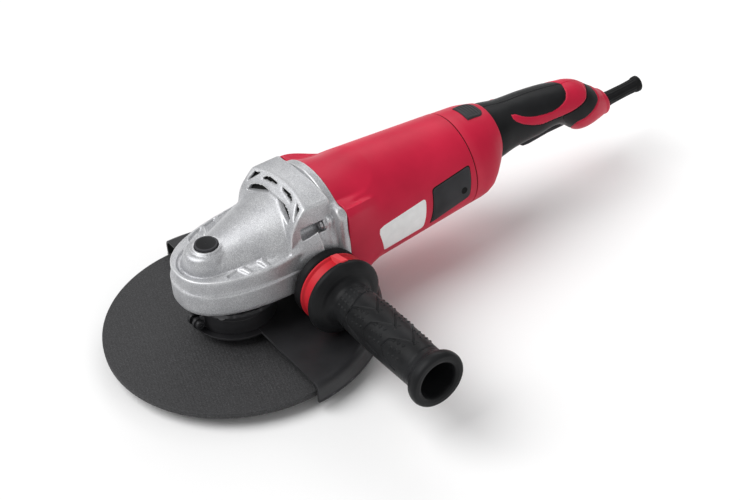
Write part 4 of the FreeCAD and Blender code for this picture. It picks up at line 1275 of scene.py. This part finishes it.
side_handle = side_grip()
finish_piece(side_handle, SOFT_RUBBER, "housing", ["side_handle_grip"])
stud = lathe(
    "side_handle_stud_bar", "x", [(0.01, 36), (6.0, 36), (6.9, 37), (6.9, 94), (0.01, 94)], SIDE_AT, 32)
finish_piece(stud, STEEL, "housing", ["side_handle_stud"])


# ------------------------------------------------------------------ guard, disc and its clamping
GUARD_RADIUS = GUARD_HIGH[1]
PLATE_Z = GUARD_HIGH[2]
RIM_Z = GUARD_LOW[2]


def guard_sheet():
    """Half a turn of pressed sheet with a round shoulder and a rolled lip, ringed at its collar."""
    radius = GUARD_RADIUS
    profile = rounded([
        (31.0, PLATE_Z), (60.0, PLATE_Z, 0), (radius, PLATE_Z, 7.5), (radius, RIM_Z + 2.6, 1.2),
        (radius + 0.9, RIM_Z + 1.6, 0.8), (radius + 0.3, RIM_Z, 0.8), (radius - 2.4, RIM_Z, 0.8),
        (radius - 2.6, RIM_Z + 1.5, 0.5), (radius - 1.8, PLATE_Z - 1.8, 5.8), (60.0, PLATE_Z - 1.8, 0),
        (31.0, PLATE_Z - 1.8)], 0.0, 6)
    steps = 160
    rings = []
    for step in range(steps + 1):
        turn = math.pi * step / steps
        rings.append([(r * math.cos(turn), r * math.sin(turn), up) for r, up in profile])
    rings = np.array(rings)
    piece = skin("guard_sheet", rings)
    shape = bmesh.new()
    shape.from_mesh(piece.data)
    sharp = [edge for edge in shape.edges if len(edge.link_faces) == 2
             and edge.calc_face_angle(0) > math.radians(70)]
    bmesh.ops.bevel(shape, geom=sharp, offset=0.3 * MM, segments=2, affect="EDGES", clamp_overlap=True)
    shape.to_mesh(piece.data)
    shape.free()
    sharpen(piece, 40)
    return piece


guard = guard_sheet()
finish_piece(guard, BLACK_STEEL, "guard", ["guard"])
guard_front = lathe("guard_ring_plate", "z", rounded(
    [(30.6, PLATE_Z - 1.9), (39.0, PLATE_Z - 1.9), (39.0, PLATE_Z - 0.05), (30.6, PLATE_Z - 0.05)],
    0.3), steps=96)
finish_piece(guard_front, BLACK_STEEL, "guard")
collar = lathe("guard_collar_band", "z", rounded(
    [(30.5, PLATE_Z + 0.1), (33.4, PLATE_Z + 0.1), (33.4, 41.6), (32.6, 42.9), (30.5, 42.9)], 0.6), steps=128)
lugs = []
for x_at in (-3.5, 3.5):
    lug = lathe("lug", "x", rounded([(2.8, -1.4), (5.4, -1.4), (5.4, 1.4), (2.8, 1.4)], 0.5),
                (x_at, -38.4, PLATE_Z + 7.5), 40)
    lugs.append(lug)
    shape = bmesh.new()
    made = bmesh.ops.create_cube(shape, size=1)
    for corner in made["verts"]:
        along, up = -34.6 + corner.co.y * 5.4, PLATE_Z + 7.5 + corner.co.z * 10
        corner.co = Vector((x_at + corner.co.x * 2.8, along, up)) * MM
    bmesh.ops.bevel(shape, geom=list(shape.edges), offset=0.5 * MM, segments=2, affect="EDGES")
    mesh = bpy.data.meshes.new("lug_foot")
    shape.to_mesh(mesh)
    shape.free()
    foot = bpy.data.objects.new("lug_foot", mesh)
    bpy.context.scene.collection.objects.link(foot)
    lugs.append(foot)
collar = join("guard_collar_band", [collar] + lugs)
sharpen(collar, 40)
finish_piece(collar, BLACK_STEEL, "guard", ["guard_collar"])
clamp_screw = lathe("guard_clamp_bolt", "x", rounded(
    [(0.01, -8), (3.9, -8), (3.9, -5.2), (2.5, -5.0), (2.5, 5.0), (4.0, 5.1), (4.0, 8.2), (2.0, 8.6),
     (1.9, 7.0), (0.01, 7.0)], 0.3), (0, -38.4, PLATE_Z + 7.5), 40)
finish_piece(clamp_screw, BLACK_STEEL, "guard", ["guard_clamp_screw"])
bearing_neck = lathe("bearing_cover_neck", "z", rounded(
    [(31.5, 43.3), (35.3, 43.3), (35.4, 51.0), (42.6, 53.2), (42.6, 55.8), (31.5, 55.8)], 0.6), steps=128)
finish_piece(bearing_neck, DARK_PLASTIC, "housing")

DISC_TOP = DISC_HIGH[2]
DISC_BOTTOM = DISC_LOW[2]
disc = lathe("grinding_disc_body", "z", rounded(
    [(11.2, DISC_BOTTOM), (22, DISC_BOTTOM), (30, DISC_BOTTOM + 0.6),
     (DISC_RADIUS - 0.3, DISC_BOTTOM + 0.3, 1.0), (DISC_RADIUS - 0.1, DISC_TOP - 0.2, 1.4),
     (34, DISC_TOP - 0.1), (24, DISC_TOP - 0.9), (11.2, DISC_TOP - 0.9)],
    1.2, 4), steps=200)
finish_piece(disc, GRIT, "spindle", ["grinding_disc"])
blotter = lathe("disc_mount_ring", "z", rounded(
    [(11.2, DISC_TOP - 0.9), (20.9, DISC_TOP - 0.9), (20.9, DISC_TOP + 3.0), (17.0, DISC_TOP + 4.9),
     (11.2, DISC_TOP + 4.9)], 0.5), steps=96)
finish_piece(blotter, STEEL, "spindle", ["inner_flange"])

# ------------------------------------------------------------------ CAD nodes that show as they are
NODE_MATERIALS = {
    "cast_aluminium": SILVER,
    "abrasive": GRIT,
    "steel": STEEL,
    "black_steel": BLACK_STEEL,
    "red_plastic": RED,
    "black_rubber": RUBBER,
    "dark_plastic": DARK_PLASTIC,
    "label_white": LABEL,
    "copper": WIRE,
    "carbon": SHADE_AND_CARBON_BLACK,
    "lamination": IRON,
    "felt": FELT,
}
for part in frame["record"]["subparts"]:
    shown = frame["nodes"][part["node"]]
    shown.data.materials.clear()
    shown.data.materials.append(NODE_MATERIALS[part["material_slot"]])


# ------------------------------------------------------------------ stage, lights and camera
def area_light(name, at, aim, size, power):
    """A soft area light that looks at a point; metres and watts."""
    light = bpy.data.lights.new(name, "AREA")
    light.shape = "RECTANGLE"
    light.size, light.size_y = size
    light.energy = power
    lamp = bpy.data.objects.new(name, light)
    lamp.location = at
    lamp.rotation_euler = (Vector(aim) - Vector(at)).to_track_quat("-Z", "Y").to_euler()
    bpy.context.scene.collection.objects.link(lamp)


def studio():
    """A pale floor, a white world, a soft sun and two soft lamps."""
    floor = make_object("floor", [(-4000, -4000, 0), (4000, -4000, 0), (4000, 4000, 0), (-4000, 4000, 0)],
                        [(0, 1, 2, 3)], smooth=False)
    floor.location.z = -0.0005
    material, tree, shader = new_material("floor_white")
    tree.links.new(ramp(tree, noise(tree, 3, 2.0), [(0.3, (0.93, 0.93, 0.93)), (0.7, (0.96, 0.96, 0.96))]),
                   shader.inputs["Base Color"])
    shader.inputs["Roughness"].default_value = 0.9
    floor.data.materials.append(material)
    world = bpy.data.worlds.new("studio_world")
    world.use_nodes = True
    background = world.node_tree.nodes["Background"]
    background.inputs["Color"].default_value = (1, 1, 1, 1)
    background.inputs["Strength"].default_value = 0.36
    bpy.context.scene.world = world
    sky = bpy.data.lights.new("soft_sun", "SUN")
    sky.energy = 2.3
    sky.angle = math.radians(50)
    sun = bpy.data.objects.new("soft_sun", sky)
    sun.rotation_euler = Vector((0.5, 0.9, -1.5)).to_track_quat("-Z", "Y").to_euler()
    bpy.context.scene.collection.objects.link(sun)
    area_light("fill", (1.5, 0.3, 0.9), (0, 0.12, 0.06), (1.2, 1.0), 3)
    area_light("back", (-0.9, 1.1, 1.1), (0, 0.15, 0.08), (1.4, 0.6), 6)
    bpy.context.scene.view_settings.view_transform = "Standard"


def camera():
    """The viewing position: in front and above, from the side handle's side."""
    forward = Vector((-0.6639, 0.4165, -0.6211)).normalized()
    up = Vector((0.5719, 0.8179, -0.0629)).cross(forward).normalized()
    right = forward.cross(up)
    data = bpy.data.cameras.new("camera")
    data.sensor_width = 36
    data.lens = 82.7854
    data.clip_end = 20
    eye = Vector((984.31, -482.06, 941.84)) * MM
    view = bpy.data.objects.new("camera", data)
    matrix = Matrix((right, up, -forward)).transposed().to_4x4()
    matrix.translation = eye
    view.matrix_world = matrix
    bpy.context.scene.collection.objects.link(view)
    bpy.context.scene.camera = view


studio()
camera()
